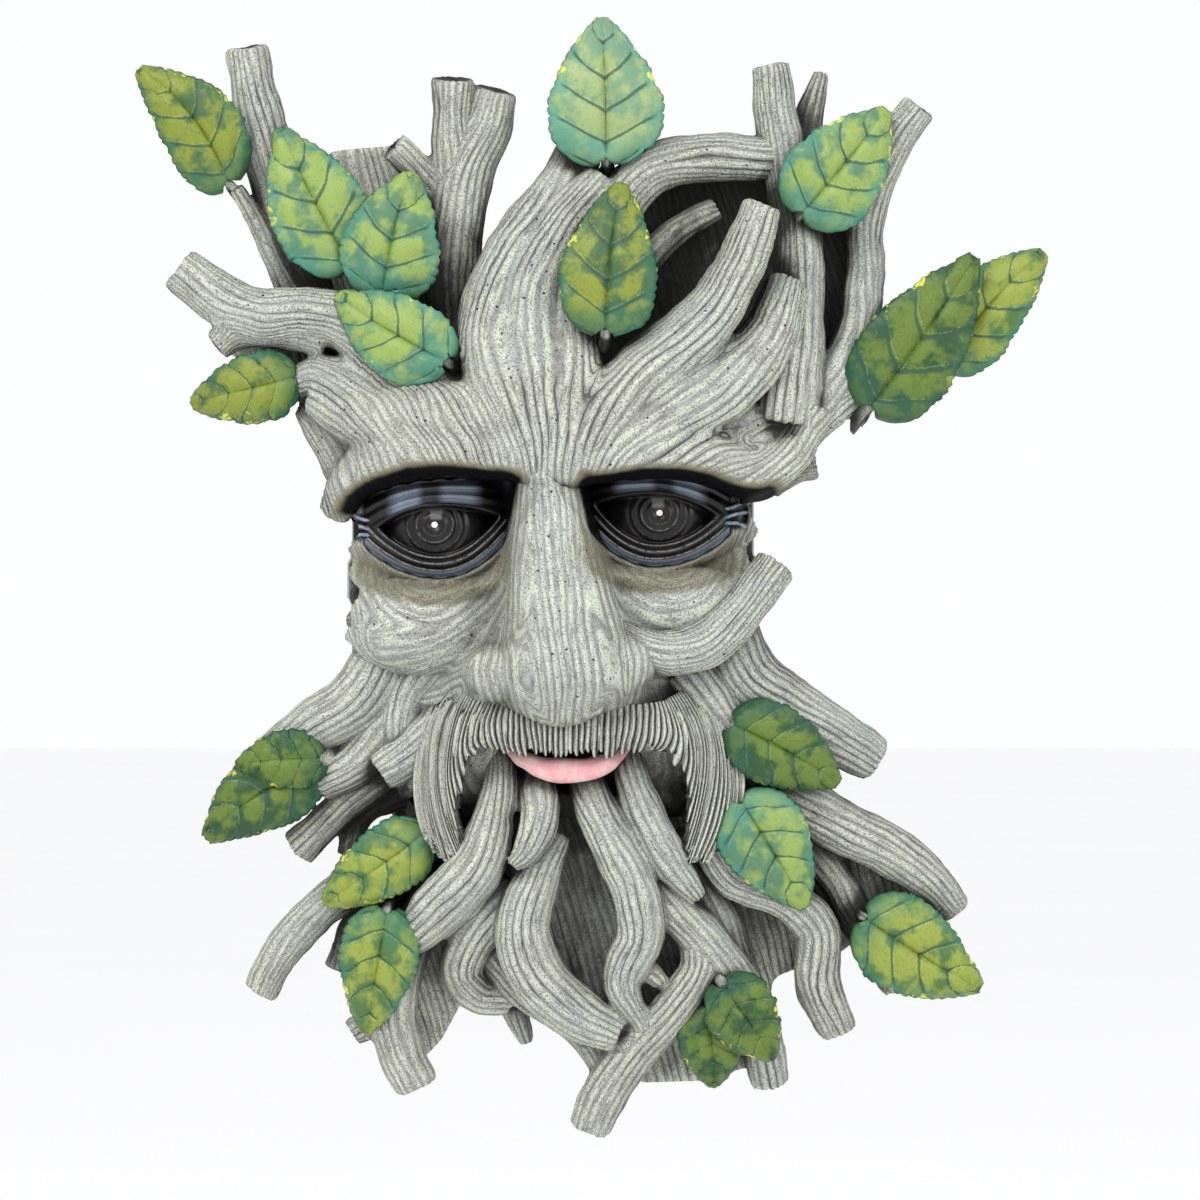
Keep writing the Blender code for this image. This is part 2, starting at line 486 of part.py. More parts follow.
def round_cutter(name, collection, radius, front, up):
    """A round bar along Y that reaches from the front depth out through the back."""
    length = front + BACK_SPARE
    bpy.ops.mesh.primitive_cylinder_add(
        vertices=32, radius=radius, depth=length,
        location=(0, BACK_SPARE - length / 2, up), rotation=(math.radians(90), 0, 0))
    return new_cutter(name, collection)


def keyhole_cutters(collection):
    """The entry for the screw head, the slot for its shank and the wider channel that holds the head."""
    head = SCREW_HEAD_HOLE / 2
    shank = SCREW_SHANK_SLOT / 2
    top = KEYHOLE_ABOVE_MOUNT + SLOT_RISE
    inside_channel = (KEYHOLE_LIP + KEYHOLE_DEPTH) / 2
    entry = round_cutter("keyhole_entry", collection, head, KEYHOLE_DEPTH, KEYHOLE_ABOVE_MOUNT)
    slot = box_cutter("keyhole_slot", collection, (-shank, -inside_channel, KEYHOLE_ABOVE_MOUNT),
                      (shank, BACK_SPARE, top))
    slot_end = round_cutter("keyhole_slot_end", collection, shank, inside_channel, top)
    channel = box_cutter("keyhole_channel", collection, (-head, -KEYHOLE_DEPTH, KEYHOLE_ABOVE_MOUNT),
                         (head, -KEYHOLE_LIP, top))
    return entry, slot, slot_end, channel


def add_boolean(thing, name, operation, other):
    modifier = thing.modifiers.new(name, "BOOLEAN")
    modifier.operation = operation
    modifier.solver = "EXACT"
    modifier.object = other


def casting_material():
    """Grey painted resin, as the bark."""
    material = bpy.data.materials.new("grey_resin")
    material.use_nodes = True
    shader = material.node_tree.nodes["Principled BSDF"]
    shader.inputs["Base Color"].default_value = (0.42, 0.41, 0.38, 1)
    shader.inputs["Roughness"].default_value = 0.75
    shader.inputs["Metallic"].default_value = 0.0
    return material


def main():
    clear_scene()
    sculpture = bpy.data.collections.new("tree_face_sculpture")
    helpers = bpy.data.collections.new("cutters")
    for collection in (sculpture, helpers):
        bpy.context.scene.collection.children.link(collection)
    tree_face = bpy.data.objects.new("tree_face", fused_mesh())
    sculpture.objects.link(tree_face)
    tree_face.data.materials.append(casting_material())

    skin = tree_face.modifiers.new("fused_skin", "REMESH")
    skin.mode = "VOXEL"
    skin.voxel_size = SKIN
    soften = tree_face.modifiers.new("soften", "SMOOTH")
    soften.factor = SMOOTHING
    soften.iterations = SMOOTHING_PASSES
    facets = tree_face.modifiers.new("facets", "DECIMATE")
    facets.ratio = KEPT_SHARE
    facets.use_collapse_triangulate = True

    front_half = box_cutter("front_half", helpers, (-HEIGHT, -2 * RELIEF, -HEIGHT), (HEIGHT, 0, HEIGHT))
    add_boolean(tree_face, "flat_back", "INTERSECT", front_half)
    for cutter in keyhole_cutters(helpers):
        add_boolean(tree_face, cutter.name, "DIFFERENCE", cutter)


main()
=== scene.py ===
"""The looks of a garden wall sculpture: the face of a bearded tree spirit among branches, roots and leaves.

Metres, +Z up. The face looks along -Y and the flat back lies in the plane Y = 0.
The carving is laid out in squares of a grid: across, up, and out from the wall.
"""

import itertools
import math

import bmesh
import bpy
import numpy as np
from mathutils import Matrix, Vector


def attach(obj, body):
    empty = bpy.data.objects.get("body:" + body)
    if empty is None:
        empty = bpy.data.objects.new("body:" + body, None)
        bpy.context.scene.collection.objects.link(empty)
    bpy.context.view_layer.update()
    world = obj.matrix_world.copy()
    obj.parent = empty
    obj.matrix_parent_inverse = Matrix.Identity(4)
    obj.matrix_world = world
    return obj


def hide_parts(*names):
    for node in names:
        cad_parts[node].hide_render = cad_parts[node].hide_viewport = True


bl_info = {
    "name": "Tree Spirit Wall Face",
    "version": (1, 0, 0),
    "blender": (4, 5, 0),
    "location": "3D View > Sidebar > Tree Face",
    "description": "Carves and paints a resin wall plaque: a bearded bark face with branches and leaves",
    "category": "Object",
}

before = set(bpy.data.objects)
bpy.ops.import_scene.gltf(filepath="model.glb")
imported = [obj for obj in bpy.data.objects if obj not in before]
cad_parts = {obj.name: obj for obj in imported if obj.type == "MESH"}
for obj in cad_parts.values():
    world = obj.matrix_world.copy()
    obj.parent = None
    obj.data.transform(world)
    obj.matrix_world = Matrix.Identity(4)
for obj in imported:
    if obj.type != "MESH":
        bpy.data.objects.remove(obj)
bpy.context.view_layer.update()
CAD_NODE = "tree_face"
BODY = "root"

# The layout drawing: its height and its greatest relief in squares.
LAYOUT_HEIGHT = 112.6
LAYOUT_RELIEF = 27.0
OUTLOOK = Vector((0, -1, 0))

# Branches above the brow. Each row is across, up, out from the wall, radius, in squares.
BRANCHES = {
    "left_tall": ((-34, 52.8, 7.5, 2.1), (-33, 47, 7, 2.4), (-31, 39, 6, 2.5),
                  (-28.8, 31, 5.5, 2.4), (-26, 25, 6, 2.6), (-20, 19, 8, 3)),
    "left_stub": ((-40.6, 30.9, 9.5, 2.2), (-36.8, 28, 9.5, 2.6), (-32.5, 25.8, 10, 2.9),
                  (-28, 26.2, 10.5, 2.7), (-23, 24.8, 11.5, 3), (-17, 19, 13.5, 3.8), (-12, 14, 15, 4)),
    "left_stub_lobe": ((-36.9, 23, 9.5, 1.5), (-34.8, 24.6, 9.5, 1.9), (-31, 25, 9.5, 2.2),
                       (-26, 24, 10, 2.2)),
    "left_temple": ((-30, 19.2, 9, 1.5), (-26.8, 19.8, 10, 2.4), (-22.5, 17.5, 12, 3.4),
                    (-20, 12.5, 13, 3.5)),
    "left_edge": ((-28.4, 17.2, 8, 1.3), (-26.6, 15.2, 9, 2), (-24, 11.5, 10.5, 2.4),
                  (-22.8, 7.5, 9.5, 1.8)),
    "left_twig": ((-35, 38.8, 9, 0.8), (-33.2, 35.8, 8, 0.9), (-31.4, 31.8, 7.5, 1), (-29, 27.5, 8, 1.4)),
    "forked": ((-13.8, 16, 9, 3), (-13.8, 24, 8, 3), (-13.8, 32, 7.5, 3), (-12.6, 40, 7.5, 3),
               (-10.2, 44.8, 8, 2.4), (-9.2, 48.4, 8.5, 2.1)),
    "fork_left_tip": ((-13.3, 38, 7.5, 2.5), (-13.8, 43, 8.5, 1.9), (-13.8, 46, 9, 1.8),
                      (-13.6, 49.6, 9.5, 2.3)),
    "fork_side_stub": ((-14, 37, 7.5, 1.9), (-17, 40.6, 8.5, 1.6), (-19.4, 42.8, 9.5, 1.5)),
    "crown_left": ((-5.5, 11, 17, 3), (-8.3, 18, 17, 3.5), (-9.6, 25, 15.5, 3.4), (-7.2, 32, 13.5, 3.1),
                   (-3, 38.2, 11, 2.7), (-0.9, 42.5, 9, 2.4)),
    "crown_middle": ((-3.5, 11, 18, 2.7), (-5, 20, 17.5, 3.1), (-5.5, 28, 16, 3), (-2.5, 34.5, 14, 2.6),
                     (1.2, 39, 12, 2.4)),
    "crown_arch": ((-1, 12, 18, 2.6), (-1.5, 20, 17.5, 2.8), (-1.5, 28, 15.5, 2.8), (1.5, 34.5, 13.5, 2.6),
                   (5.6, 40.2, 11.5, 2.4), (11.5, 41.8, 9.5, 2.4), (18, 41.6, 8, 2.3)),
    "inner_twig": ((0.5, 26.5, 12.5, 1.9), (5, 31, 9.8, 1.6), (8.5, 34.6, 9, 1.4), (12.6, 36.8, 8.5, 1.2)),
    "right_upright": ((17.8, 50.9, 8, 1.9), (18.5, 45.5, 8, 2.2), (19.3, 40.5, 8.5, 2.2),
                      (20.4, 35, 9.5, 2.4),
                      (20.5, 29, 10.5, 2.6), (20, 22, 12, 3.2), (19, 15, 13, 3.6)),
    "right_outer": ((32.6, 46.8, 9, 1.8), (29.8, 43, 8.5, 2), (27.4, 36.5, 8, 1.9), (27.2, 30, 8, 1.9),
                    (26.5, 24.5, 9, 2.2), (24, 19.5, 10, 2.6), (20, 15, 12, 3)),
    "right_leaf_stalk": ((24, 17.5, 9, 1.9), (30, 19.5, 8.2, 1.5), (36.5, 23, 8.2, 1.1)),
    "back_twig": ((22.9, 50.4, 5, 0.8), (22, 47, 5, 1.3), (21, 41, 5.5, 1.6)),
    "brow_horn": ((16.9, 36.6, 17, 1.8), (14.3, 30, 17.5, 2.5), (10.5, 24.5, 18, 3), (5, 20, 18.5, 3.2),
                  (1, 15, 18.5, 3), (-1, 11, 18, 2.6)),
    "forehead_right": ((2, 12, 18, 2.4), (7, 15.4, 18, 3), (12.5, 18.5, 17, 3.4), (17.5, 23.5, 14.5, 3),
                       (19.5, 29, 12, 2.4)),
    "forehead_left": ((-27, 17.8, 10.5, 2), (-21, 15.6, 14, 3.4), (-14.5, 15.6, 16.6, 3.8),
                      (-8.5, 16, 17.4, 3.4)),
    "brow_left": ((-25.2, 6.6, 11, 1.7), (-22.6, 10.4, 13.6, 2.5), (-16.5, 12.8, 16.6, 2.9),
                  (-10, 12.5, 17.6, 2.9),
                  (-1, 11.1, 17.8, 2.5)),
    "brow_right": ((-2.5, 11.1, 17.8, 2.5), (5, 12.5, 18, 2.8), (10.5, 12.3, 17, 2.9),
                   (15.2, 10.6, 14.8, 2.6),
                   (19, 12.5, 12.8, 2.8), (20.8, 17.5, 12.5, 3.2)),
    "right_temple": ((14, 9.5, 13.5, 2.4), (17.6, 10.8, 12.5, 2.4), (22, 16.2, 11, 2.4),
                     (27, 19.4, 9.5, 1.8)),
    "temple_fill": ((8, 15, 15.2, 2.3), (13, 15, 14.2, 2.7), (18, 15.2, 12.2, 2.8), (22, 18, 10.4, 2.2)),
    "temple_nub": ((17.5, 9.5, 8, 1.8), (20.2, 11.2, 8, 1.7), (22.4, 11.6, 8, 1.7)),
    "cheek_right": ((2.8, -5, 17, 1.4), (6.8, -7, 18, 2.2), (11.2, -6.4, 18, 2.5), (14.8, -3.2, 17, 2.2),
                    (18.2, 1.5, 15.5, 2.1)),
    "cheek_left_nub": ((-21.5, -4, 9.5, 1.8), (-23.6, -4.6, 8.5, 1.3)),
}

# Roots that spread from the cheeks and jaw.
ROOTS = {
    "left_shoulder": ((-19, -3, 11, 3), (-20.6, -8.2, 11, 3), (-23.2, -11.9, 10.5, 3),
                      (-27.2, -14.5, 9, 2.7),
                      (-31.4, -17.6, 7.5, 2.1), (-34.2, -20, 6.5, 1.5)),
    "left_leaf": ((-18, -12, 10, 2.8), (-22.5, -17.6, 9.5, 2.2), (-27, -20.4, 9, 1.7)),
    "left_finger": ((-17, -16.5, 8, 2.4), (-23.6, -21.6, 7, 1.9), (-29, -26.7, 6, 1.9)),
    "left_jaw": ((-15, -7.5, 12, 2.6), (-18.2, -12, 11.5, 2), (-18.8, -17, 10.5, 1.8),
                 (-17, -21, 9.5, 1.8)),
    "left_stub": ((-11.5, -10, 12.5, 2.2), (-14.5, -14, 12.8, 2.2), (-17.5, -17, 13, 2),
                  (-20.6, -19, 12.8, 1.9)),
    "left_knuckle": ((-13.5, -16.5, 10.5, 2.4), (-16.6, -21, 10.5, 2)),
    "left_thin": ((-18, -20.5, 6, 1.8), (-22.8, -23.5, 5, 1.3), (-24.2, -27.5, 4.5, 1.2)),
    "left_long": ((-12.5, -24, 9.5, 2.8), (-19.5, -27.8, 8.5, 2.5), (-25, -31.2, 7.5, 2.1),
                  (-30, -36, 6.5, 2),
                  (-32.9, -41, 5.5, 1.7)),
    "left_back": ((-19, -30.5, 5, 1.8), (-23.2, -34, 4.5, 1.5), (-25.1, -38.8, 4, 1.4)),
    "left_foot": ((-14, -30, 9.5, 2.8), (-18, -36, 8.5, 2.4), (-19.5, -42, 8, 2.4),
                  (-18.8, -46.5, 7.5, 2.4),
                  (-17.2, -50.2, 7, 2.1)),
    "left_foot_spur": ((-19.5, -42.2, 7.5, 1.8), (-23.6, -44.9, 7, 1.4)),
    "right_shoulder": ((13.5, -5, 12.5, 3.2), (15.4, -9.6, 12, 3.4), (18.9, -12.5, 10.5, 3.3),
                       (23.5, -15, 9, 2.8),
                       (28.2, -17.8, 7, 2.2)),
    "right_cheek_strand": ((9.5, -8.5, 14, 2.4), (12.5, -12.5, 14, 2.1), (14.5, -15.5, 13, 1.8)),
    "right_long": ((13.5, -15.5, 11.5, 3), (18, -20.2, 10.5, 2.7), (24, -23.9, 9.5, 2.6),
                   (29.5, -26.7, 8.5, 2.5),
                   (33.4, -29.5, 7.5, 2.2), (36.3, -32.8, 6, 1.6)),
    "right_leaf": ((15, -19, 8.5, 2.4), (20, -24.5, 7.5, 2), (24.2, -29.5, 7, 1.9), (27, -34.5, 6, 1.8),
                   (30.6, -40.6, 4.5, 1.5)),
    "right_curl": ((11, -25, 12, 2.2), (14, -29.5, 11.5, 1.9), (19, -31.3, 10.5, 2.1),
                   (22.4, -34.6, 9.5, 2.3),
                   (22.6, -40, 8, 2.3), (24.7, -44.8, 6.5, 1.9)),
}

# Tendrils of the beard, the front ones out from under the moustache.
TENDRILS = {
    "outer_left": ((-8.7, -16.5, 11.5, 1.4), (-9, -21.5, 14.2, 1.9), (-11, -28, 14.5, 2.7),
                   (-15, -32.5, 12.5, 2.7),
                   (-17.8, -35.5, 10.5, 1.9)),
    "short": ((-4.9, -17.5, 10, 1.5), (-4.9, -20.4, 13.2, 1.8), (-4.9, -23.5, 16, 2),
              (-6, -26.5, 16.8, 1.5), (-7.6, -28.2, 16.5, 0.8)),
    "s_shaped": ((-2.8, -25, 13.5, 1.2), (-5, -29, 14, 2.2), (-6.5, -34, 13.8, 2.7),
                 (-5.5, -38.5, 13.2, 2.8),
                 (-1.5, -42.5, 12.2, 2.6), (2.8, -44.8, 11.5, 1.9)),
    "middle": ((-0.9, -17.5, 10, 1.5), (-0.2, -20.5, 13.2, 1.9), (1.5, -24.5, 15.8, 2.2),
               (4.2, -30, 15, 2.4), (5, -35, 14, 2.4),
               (3.2, -39.5, 13, 2), (5.2, -43.8, 12, 1)),
    "spur": ((4, -37, 12.5, 1.3), (7, -39.8, 12, 0.9)),
    "right": ((3.4, -16.5, 11.5, 1.5), (4.2, -19.5, 13.6, 1.8), (5.5, -23, 15, 2),
              (7.8, -27.5, 14.5, 1.9), (10.7, -31.3, 13, 1)),
    "right_root": ((6, -30, 12, 2.3), (11, -35.5, 11, 2.3), (15, -40.5, 9, 2.2), (16.8, -45.5, 7.5, 2.2),
                   (17.9, -50, 6.5, 2)),
    "right_inner": ((8, -25.5, 10.5, 2.4), (12.5, -33, 8.5, 2), (14.5, -37.5, 6.5, 1.8)),
    "bottom": ((9.5, -33.5, 11, 2), (10.8, -38, 11, 2), (8, -42.5, 11, 2.2), (4, -46.8, 10, 2.4),
               (1.3, -51, 8, 2.3), (0, -54.3, 6.5, 2.0)),
    "bottom_feeder": ((-9.5, -36.5, 9.5, 2.2), (-5.6, -40.6, 9, 2.4), (-0.8, -43.8, 8.5, 2.4),
                      (2.2, -48.2, 8, 2.2)),
    "curl": ((-7, -30.5, 12, 2.4), (-11.2, -35, 11, 2.4), (-12.7, -38.6, 9.5, 2.2), (-11, -41.2, 8.5, 1.8),
             (-8, -41.6, 8, 1.6)),
    "small_tip": ((-8, -41, 6, 1.6), (-6.3, -46, 4.5, 0.8)),
    "lower_lip": ((-8.1, -16.5, 14.6, 0.5), (-6.2, -17.8, 16.6, 0.95), (-3.8, -18.6, 17.5, 1.15),
                  (-0.6, -18.6, 17.6, 1.15), (1.8, -17.8, 16.7, 0.95), (3.7, -16.3, 14.6, 0.5)),
}

# Webs of casting that tie the limbs together at the back. Corners in squares.
WEBS = {
    "crown_left": ((-26, 42.6), (-18, 43.3), (-13.5, 36), (-12, 16), (-26, 17), (-36, 22.5), (-33, 25),
                   (-31.5, 27.5),
                   (-29, 30)),
    "crown_right": ((-3, 37), (3, 41), (17, 41.8), (21, 37), (27, 37), (27.6, 21), (21, 15), (-3, 18)),
    "beard": ((-22, -31), (-14, -24.5), (-16, -10), (16, -10), (22, -22), (33, -30.5), (30, -32.5),
              (28, -34.5),
              (25, -37), (21, -38.5), (18.2, -39.5), (17.2, -48), (11, -49.8), (5, -50), (1.8, -45.6),
              (-3.6, -41),
              (-12, -40.6), (-14.8, -45.8), (-17, -48), (-19, -42), (-22.5, -35)),
}

# How much the dark washes and painted shade of the hollows are raised or lowered on each web.
WEB_WASH_AND_SHADE = {"crown_left": -0.6, "crown_right": 0.1, "beard": -0.3}

# Leaves: base and tip as across, up, out; greatest width; sideways bow of the midrib, all in squares;
# and the roll in degrees.
LEAVES = {
    "top_left": ((-35.8, 39.3, 9.5), (-44.3, 50.2, 9), 7.6, -1.2, 0),
    "upper_left": ((-23.6, 31, 11.5), (-30.5, 44.2, 10.5), 9.4, 0.4, 6),
    "left_trio": ((-20.3, 28.1, 13.5), (-17.6, 39.8, 13), 9.4, 0.2, -6),
    "left_low": ((-14.1, 21.3, 17.2), (-24.5, 27.7, 15), 7.8, 0.3, 0),
    "left_temple": ((-29.3, 19.9, 10.5), (-39, 17.5, 9.5), 6.3, 0, 0),
    "crown": ((1.6, 41.2, 14), (1.2, 54.9, 12.5), 11, -0.1, 0),
    "forehead": ((1.5, 24.2, 21.4), (3, 38.3, 18.6), 9.1, 0.3, 0),
    "right_top": ((20.8, 36, 12.5), (29, 46, 11.8), 9.2, -0.2, 0),
    "right_big": ((27.6, 17, 11.5), (37.7, 31.6, 12.5), 9.8, -0.3, 0),
    "right_back": ((35.2, 21.6, 9), (44.65, 32.1, 9), 7.8, 0.6, 0),
    "left_root_upper": ((-26.6, -17.7, 11), (-34.5, -18.4, 10), 5.2, -0.3, 0),
    "left_root_lower": ((-27.2, -18.8, 9.6), (-37.7, -25.4, 9), 7.4, -0.9, 0),
    "left_long_root": ((-16.3, -25, 12.2), (-25.9, -31.7, 11.2), 6.4, 0.1, 0),
    "left_foot": ((-20, -32.8, 12.6), (-22, -44.3, 11), 7.2, 0, 0),
    "right_shoulder": ((14, -14.2, 15.5), (24.1, -19.8, 13.5), 7.4, 0.3, 0),
    "right_cheek": ((14.8, -21.7, 14.8), (21, -31.9, 12.8), 8.2, 0.1, 0),
    "right_low": ((27.2, -33.4, 9.6), (38.3, -40.2, 8.6), 8.8, -0.3, 0),
    "bottom_front": ((13.1, -39.9, 13.2), (17.8, -46.9, 11.6), 6.4, 0.1, 0),
    "bottom_back": ((11.7, -42.4, 11), (12.2, -49.6, 10), 6, 0.1, 0),
}

# The lines that the grain follows over brow and crown: the number of the ridge, then rows of across, up, out
# in squares.
CROWN_FLOW = (
    (-24.0, ((-28.4, 17.2, 8), (-26.6, 15.2, 9), (-24.2, 11.5, 10.5), (-22.5, 7, 11.5))),
    (-19.5, ((-30, 19.2, 9), (-26.8, 19.8, 10), (-22.5, 17.2, 12), (-19.6, 13, 14), (-18.6, 9.5, 14))),
    (-15.5, ((-36.9, 23, 9.5), (-34.8, 24.6, 9.5), (-31, 25, 9.5), (-25, 22.5, 11), (-18, 17, 14),
             (-15, 12.5, 16), (-14.2, 9.5, 16))),
    (-12.0, ((-40.6, 30.9, 9.5), (-36.8, 28, 9.5), (-32.5, 25.8, 10), (-28, 26.2, 10.5), (-23, 24.8, 11.5),
             (-16, 19.5, 14), (-11.5, 14, 16.5), (-10, 9.5, 17))),
    (-8.6, ((-17, 23, 12), (-12.4, 18.5, 15.5), (-9.3, 13.5, 17), (-8, 9.5, 17))),
    (-5.9, ((-0.9, 42.5, 9), (-3, 38.2, 11), (-7.2, 32, 13.5), (-9.6, 25, 15.5), (-8.3, 18, 17),
            (-6.2, 12.5, 17.5), (-5.6, 9.5, 17.5))),
    (-4.1, ((1.2, 39, 12), (-2.5, 34.5, 14), (-5.5, 28, 16), (-5, 20, 17.5), (-4.3, 13, 18),
            (-4.1, 9.3, 18))),
    (-2.3, ((18, 41.6, 8), (11.5, 41.8, 9.5), (5.6, 40.2, 11.5), (1.5, 34.5, 13.5), (-1.5, 28, 15.5),
            (-1.5, 20, 17.5), (-2.4, 13, 18), (-2.6, 9.3, 18))),
    (0.2, ((16.9, 36.6, 17), (14.3, 30, 17.5), (10.5, 24.5, 18), (5, 20, 18.5), (1.2, 15, 18.5),
           (-0.6, 11, 18), (-1, 9.3, 18))),
    (3.2, ((19.8, 31, 11.5), (17, 23.8, 14.5), (12.3, 18.6, 17), (7, 15.2, 18), (3, 12.4, 18),
           (1.6, 10, 17.5))),
    (7.5, ((20.6, 29, 11), (19.6, 20, 13.2), (16.4, 15.2, 15.5), (11.5, 12.6, 17), (8, 10, 17))),
    (12.0, ((27, 19.4, 9.5), (22, 16.2, 11), (19, 12.6, 12.5), (15.4, 10, 13.5))),
    (15.0, ((22.4, 11.6, 8), (20.2, 11.2, 8), (17.5, 9.5, 8))),
    (20.0, ((18.2, 1.5, 15.5), (14.8, -3.2, 17), (11.2, -6.4, 18), (6.8, -7, 18), (2.8, -5, 17))),
    (-26.0, ((-23.6, -4.6, 8.5), (-21.5, -4, 9.5))),
)

# The same over the face: down the nose, round its wings, and round both cheeks.
FACE_FLOW = (
    (-6.4, ((-6.4, 10, 18), (-7, 4, 18.5), (-7.4, -2, 19.5), (-7.4, -8, 20), (-6.2, -13, 20))),
    (-3.6, ((-3.9, 10.5, 18.5), (-3.4, 3, 20.5), (-2.6, -4, 23), (-1.9, -10, 25.5), (-1.8, -14, 24))),
    (-0.8, ((-1.4, 10, 18), (-0.2, 4, 18.5), (1.2, -2, 19.5), (2.3, -7, 20), (2.2, -13, 20))),
    (-9.6, ((-9, -5.5, 18), (-9.8, -8.8, 21), (-9, -12.2, 18))),
    (2.4, ((4, -5, 18), (4.9, -8, 21), (4.4, -11.5, 18))),
    (-8.8, ((-8.2, 3, 14), (-8.8, -0.5, 15), (-11.5, -4, 17), (-15, -6.2, 18), (-19, -7, 15))),
    (-7.2, ((-8.2, -2.5, 15), (-10.8, -6.5, 17), (-14, -8.6, 16), (-17.5, -9.5, 14))),
    (-10.5, ((-9.3, 2.5, 13), (-11, -0.8, 15), (-15.5, -3.2, 17), (-19, -2.2, 16), (-21.3, 1.2, 13),
             (-22.4, 5, 12))),
    (-8.6, ((-18, -8.5, 14), (-20.8, -5, 13.5), (-22.3, -1, 11), (-22.8, 2.5, 10))),
    (1.2, ((0.4, 3, 15), (1.4, -1, 16), (4.5, -4.6, 17), (8.5, -6, 18), (12.5, -5, 17), (16, -1.5, 15))),
    (-0.6, ((1.2, -3.8, 16), (4.5, -7.6, 17), (8.5, -9, 16), (12.5, -8, 14), (15.5, -5, 12))),
    (3.2, ((1, 3.5, 14), (3.2, -0.6, 15), (7, -2.6, 17), (11, -1.8, 16), (13.6, 1.5, 14))),
    (2.2, ((12.5, -4.6, 15), (14.6, -0.5, 13), (15.4, 4, 11))),
)

# The moustache: root, middle and end of its strands from under the nose to the outside, left side in squares.
STRANDS_A_SIDE = 34
STRAND_COLUMNS = 6
STRAND_ROWS = 40
NOSE_LINE = -2.0
RIGHT_REACH = 1.1
MOUSTACHE_ROOT = ((-2, -12.4, 19.5), (-3.9, -12.4, 19.4), (-5.8, -12.3, 19), (-7.6, -12.2, 18.4),
                  (-9.3, -12, 17.8),
                  (-10.4, -11.8, 17.2), (-11.3, -11.4, 16.6), (-12, -11, 15.9), (-12.6, -10.7, 15.2),
                  (-13.1, -10.4, 14.4), (-13.5, -10.2, 13.4))
MOUSTACHE_MIDDLE = ((-2, -14.9, 21.4), (-3.8, -14.9, 21.3), (-5.7, -14.8, 20.9), (-7.6, -14.7, 20.3),
                    (-9.6, -14.7, 19.6), (-11.4, -15, 18.9), (-12.9, -16, 18.2), (-14, -17, 17.4),
                    (-14.9, -17.8, 16.6), (-15.9, -18.2, 15.6), (-16.9, -18.4, 14.4))
MOUSTACHE_EDGE = ((-2, -17.2, 19.6), (-3.75, -17.2, 19.5), (-5.5, -17, 19.2), (-7.25, -16.9, 18.9),
                  (-9, -16.7, 18.6), (-10.8, -16.8, 18.1), (-12.6, -20, 17.2), (-13, -24.5, 16.2),
                  (-12.9, -27.2, 15.5), (-14.4, -27, 14.8), (-15.8, -25.5, 13.8))

# Leaves: how fine their blades are, their teeth and veins, and their paints as green, second tone, edge.
LEAF_COLUMNS = 22
LEAF_ROWS = 60
LEAF_TEETH = 15
LEAF_VEINS = 4.4
LEAF_PAINTS = {
    "sunlit": ((0.045, 0.10, 0.03), (0.19, 0.23, 0.022), (0.015, 0.11, 0.06)),
    "mixed": ((0.075, 0.175, 0.09), (0.24, 0.33, 0.07), (0.05, 0.215, 0.16)),
    "pale": ((0.14, 0.26, 0.15), (0.28, 0.36, 0.14), (0.075, 0.26, 0.19)),
    "deep": ((0.016, 0.062, 0.014), (0.105, 0.165, 0.018), (0.010, 0.075, 0.04)),
    "fresh": ((0.06, 0.135, 0.03), (0.24, 0.29, 0.04), (0.028, 0.15, 0.085)),
}
LEAF_LOOKS = {
    "top_left": "sunlit", "upper_left": "mixed", "left_trio": "mixed", "left_low": "mixed",
    "left_temple": "sunlit", "crown": "pale", "forehead": "sunlit", "right_top": "mixed",
    "right_big": "deep", "right_back": "fresh", "left_root_upper": "deep", "left_root_lower": "deep",
    "left_long_root": "fresh", "left_foot": "fresh", "right_shoulder": "deep", "right_cheek": "mixed",
    "right_low": "fresh", "bottom_front": "deep", "bottom_back": "deep",
}

# The studio, in metres: floor, lamps (place, aim, width, height, watts, tone), world and camera.
FLOOR_SIZE = 30.0
FLOOR_LEVEL = -0.32
LAMPS = (
    ("key", (-0.55, -1.1, 1.15), (0, 0, 0.02), 0.9, 0.7, 15, (1.0, 0.99, 0.96)),
    ("fill", (0.9, -1.2, 0.65), (0, 0, 0), 0.7, 0.7, 6, (0.96, 0.98, 1.0)),
)
WORLD_TONE = (0.985, 0.99, 1.0)
WORLD_STRENGTH = 1.0
SENSOR = 36.0
CAMERA_AWAY = 2.2
FRAME_WIDTH = 0.324
FRAME_MIDDLE = (0.0027, -0.0054)

# The face: its outline, the middles of the eyes, and the side on which the nose lies.
FACE_MIDDLE = -3.7
FACE_HALF_WIDTH = 19.8
FACE_HALF_HEIGHT = 30
EYES = {"left": (-15.25, 5.4, 1), "right": (6.85, 6.55, -1)}
FACE_LOW = (-25.0, -23.5)
FACE_HIGH = (17.5, 16.5)
FACE_STEP = 0.16
EYE_STEP = 0.11

# Which limbs are carved together.
CROWN_BACK = ("left_tall", "left_twig", "forked", "fork_left_tip", "fork_side_stub", "inner_twig",
              "right_upright",
              "right_outer", "right_leaf_stalk", "back_twig")
LIP = "lower_lip"

# How finely the surface is modelled, in metres, and how often it is softened.
FINE_SKIN = 0.0007
PLAIN_SKIN = 0.00078
PAD_SKIN = 0.0012
WEB_SKIN = 0.0015
LIP_SKIN = 0.0005
STEM_SKIN = 0.0009
LIMB_STEPS = 8
SOFT_PASSES = 6
LIMB_REACH = 2.6
MERGE_PASSES = 48
GRAIN_PITCH = 0.0022

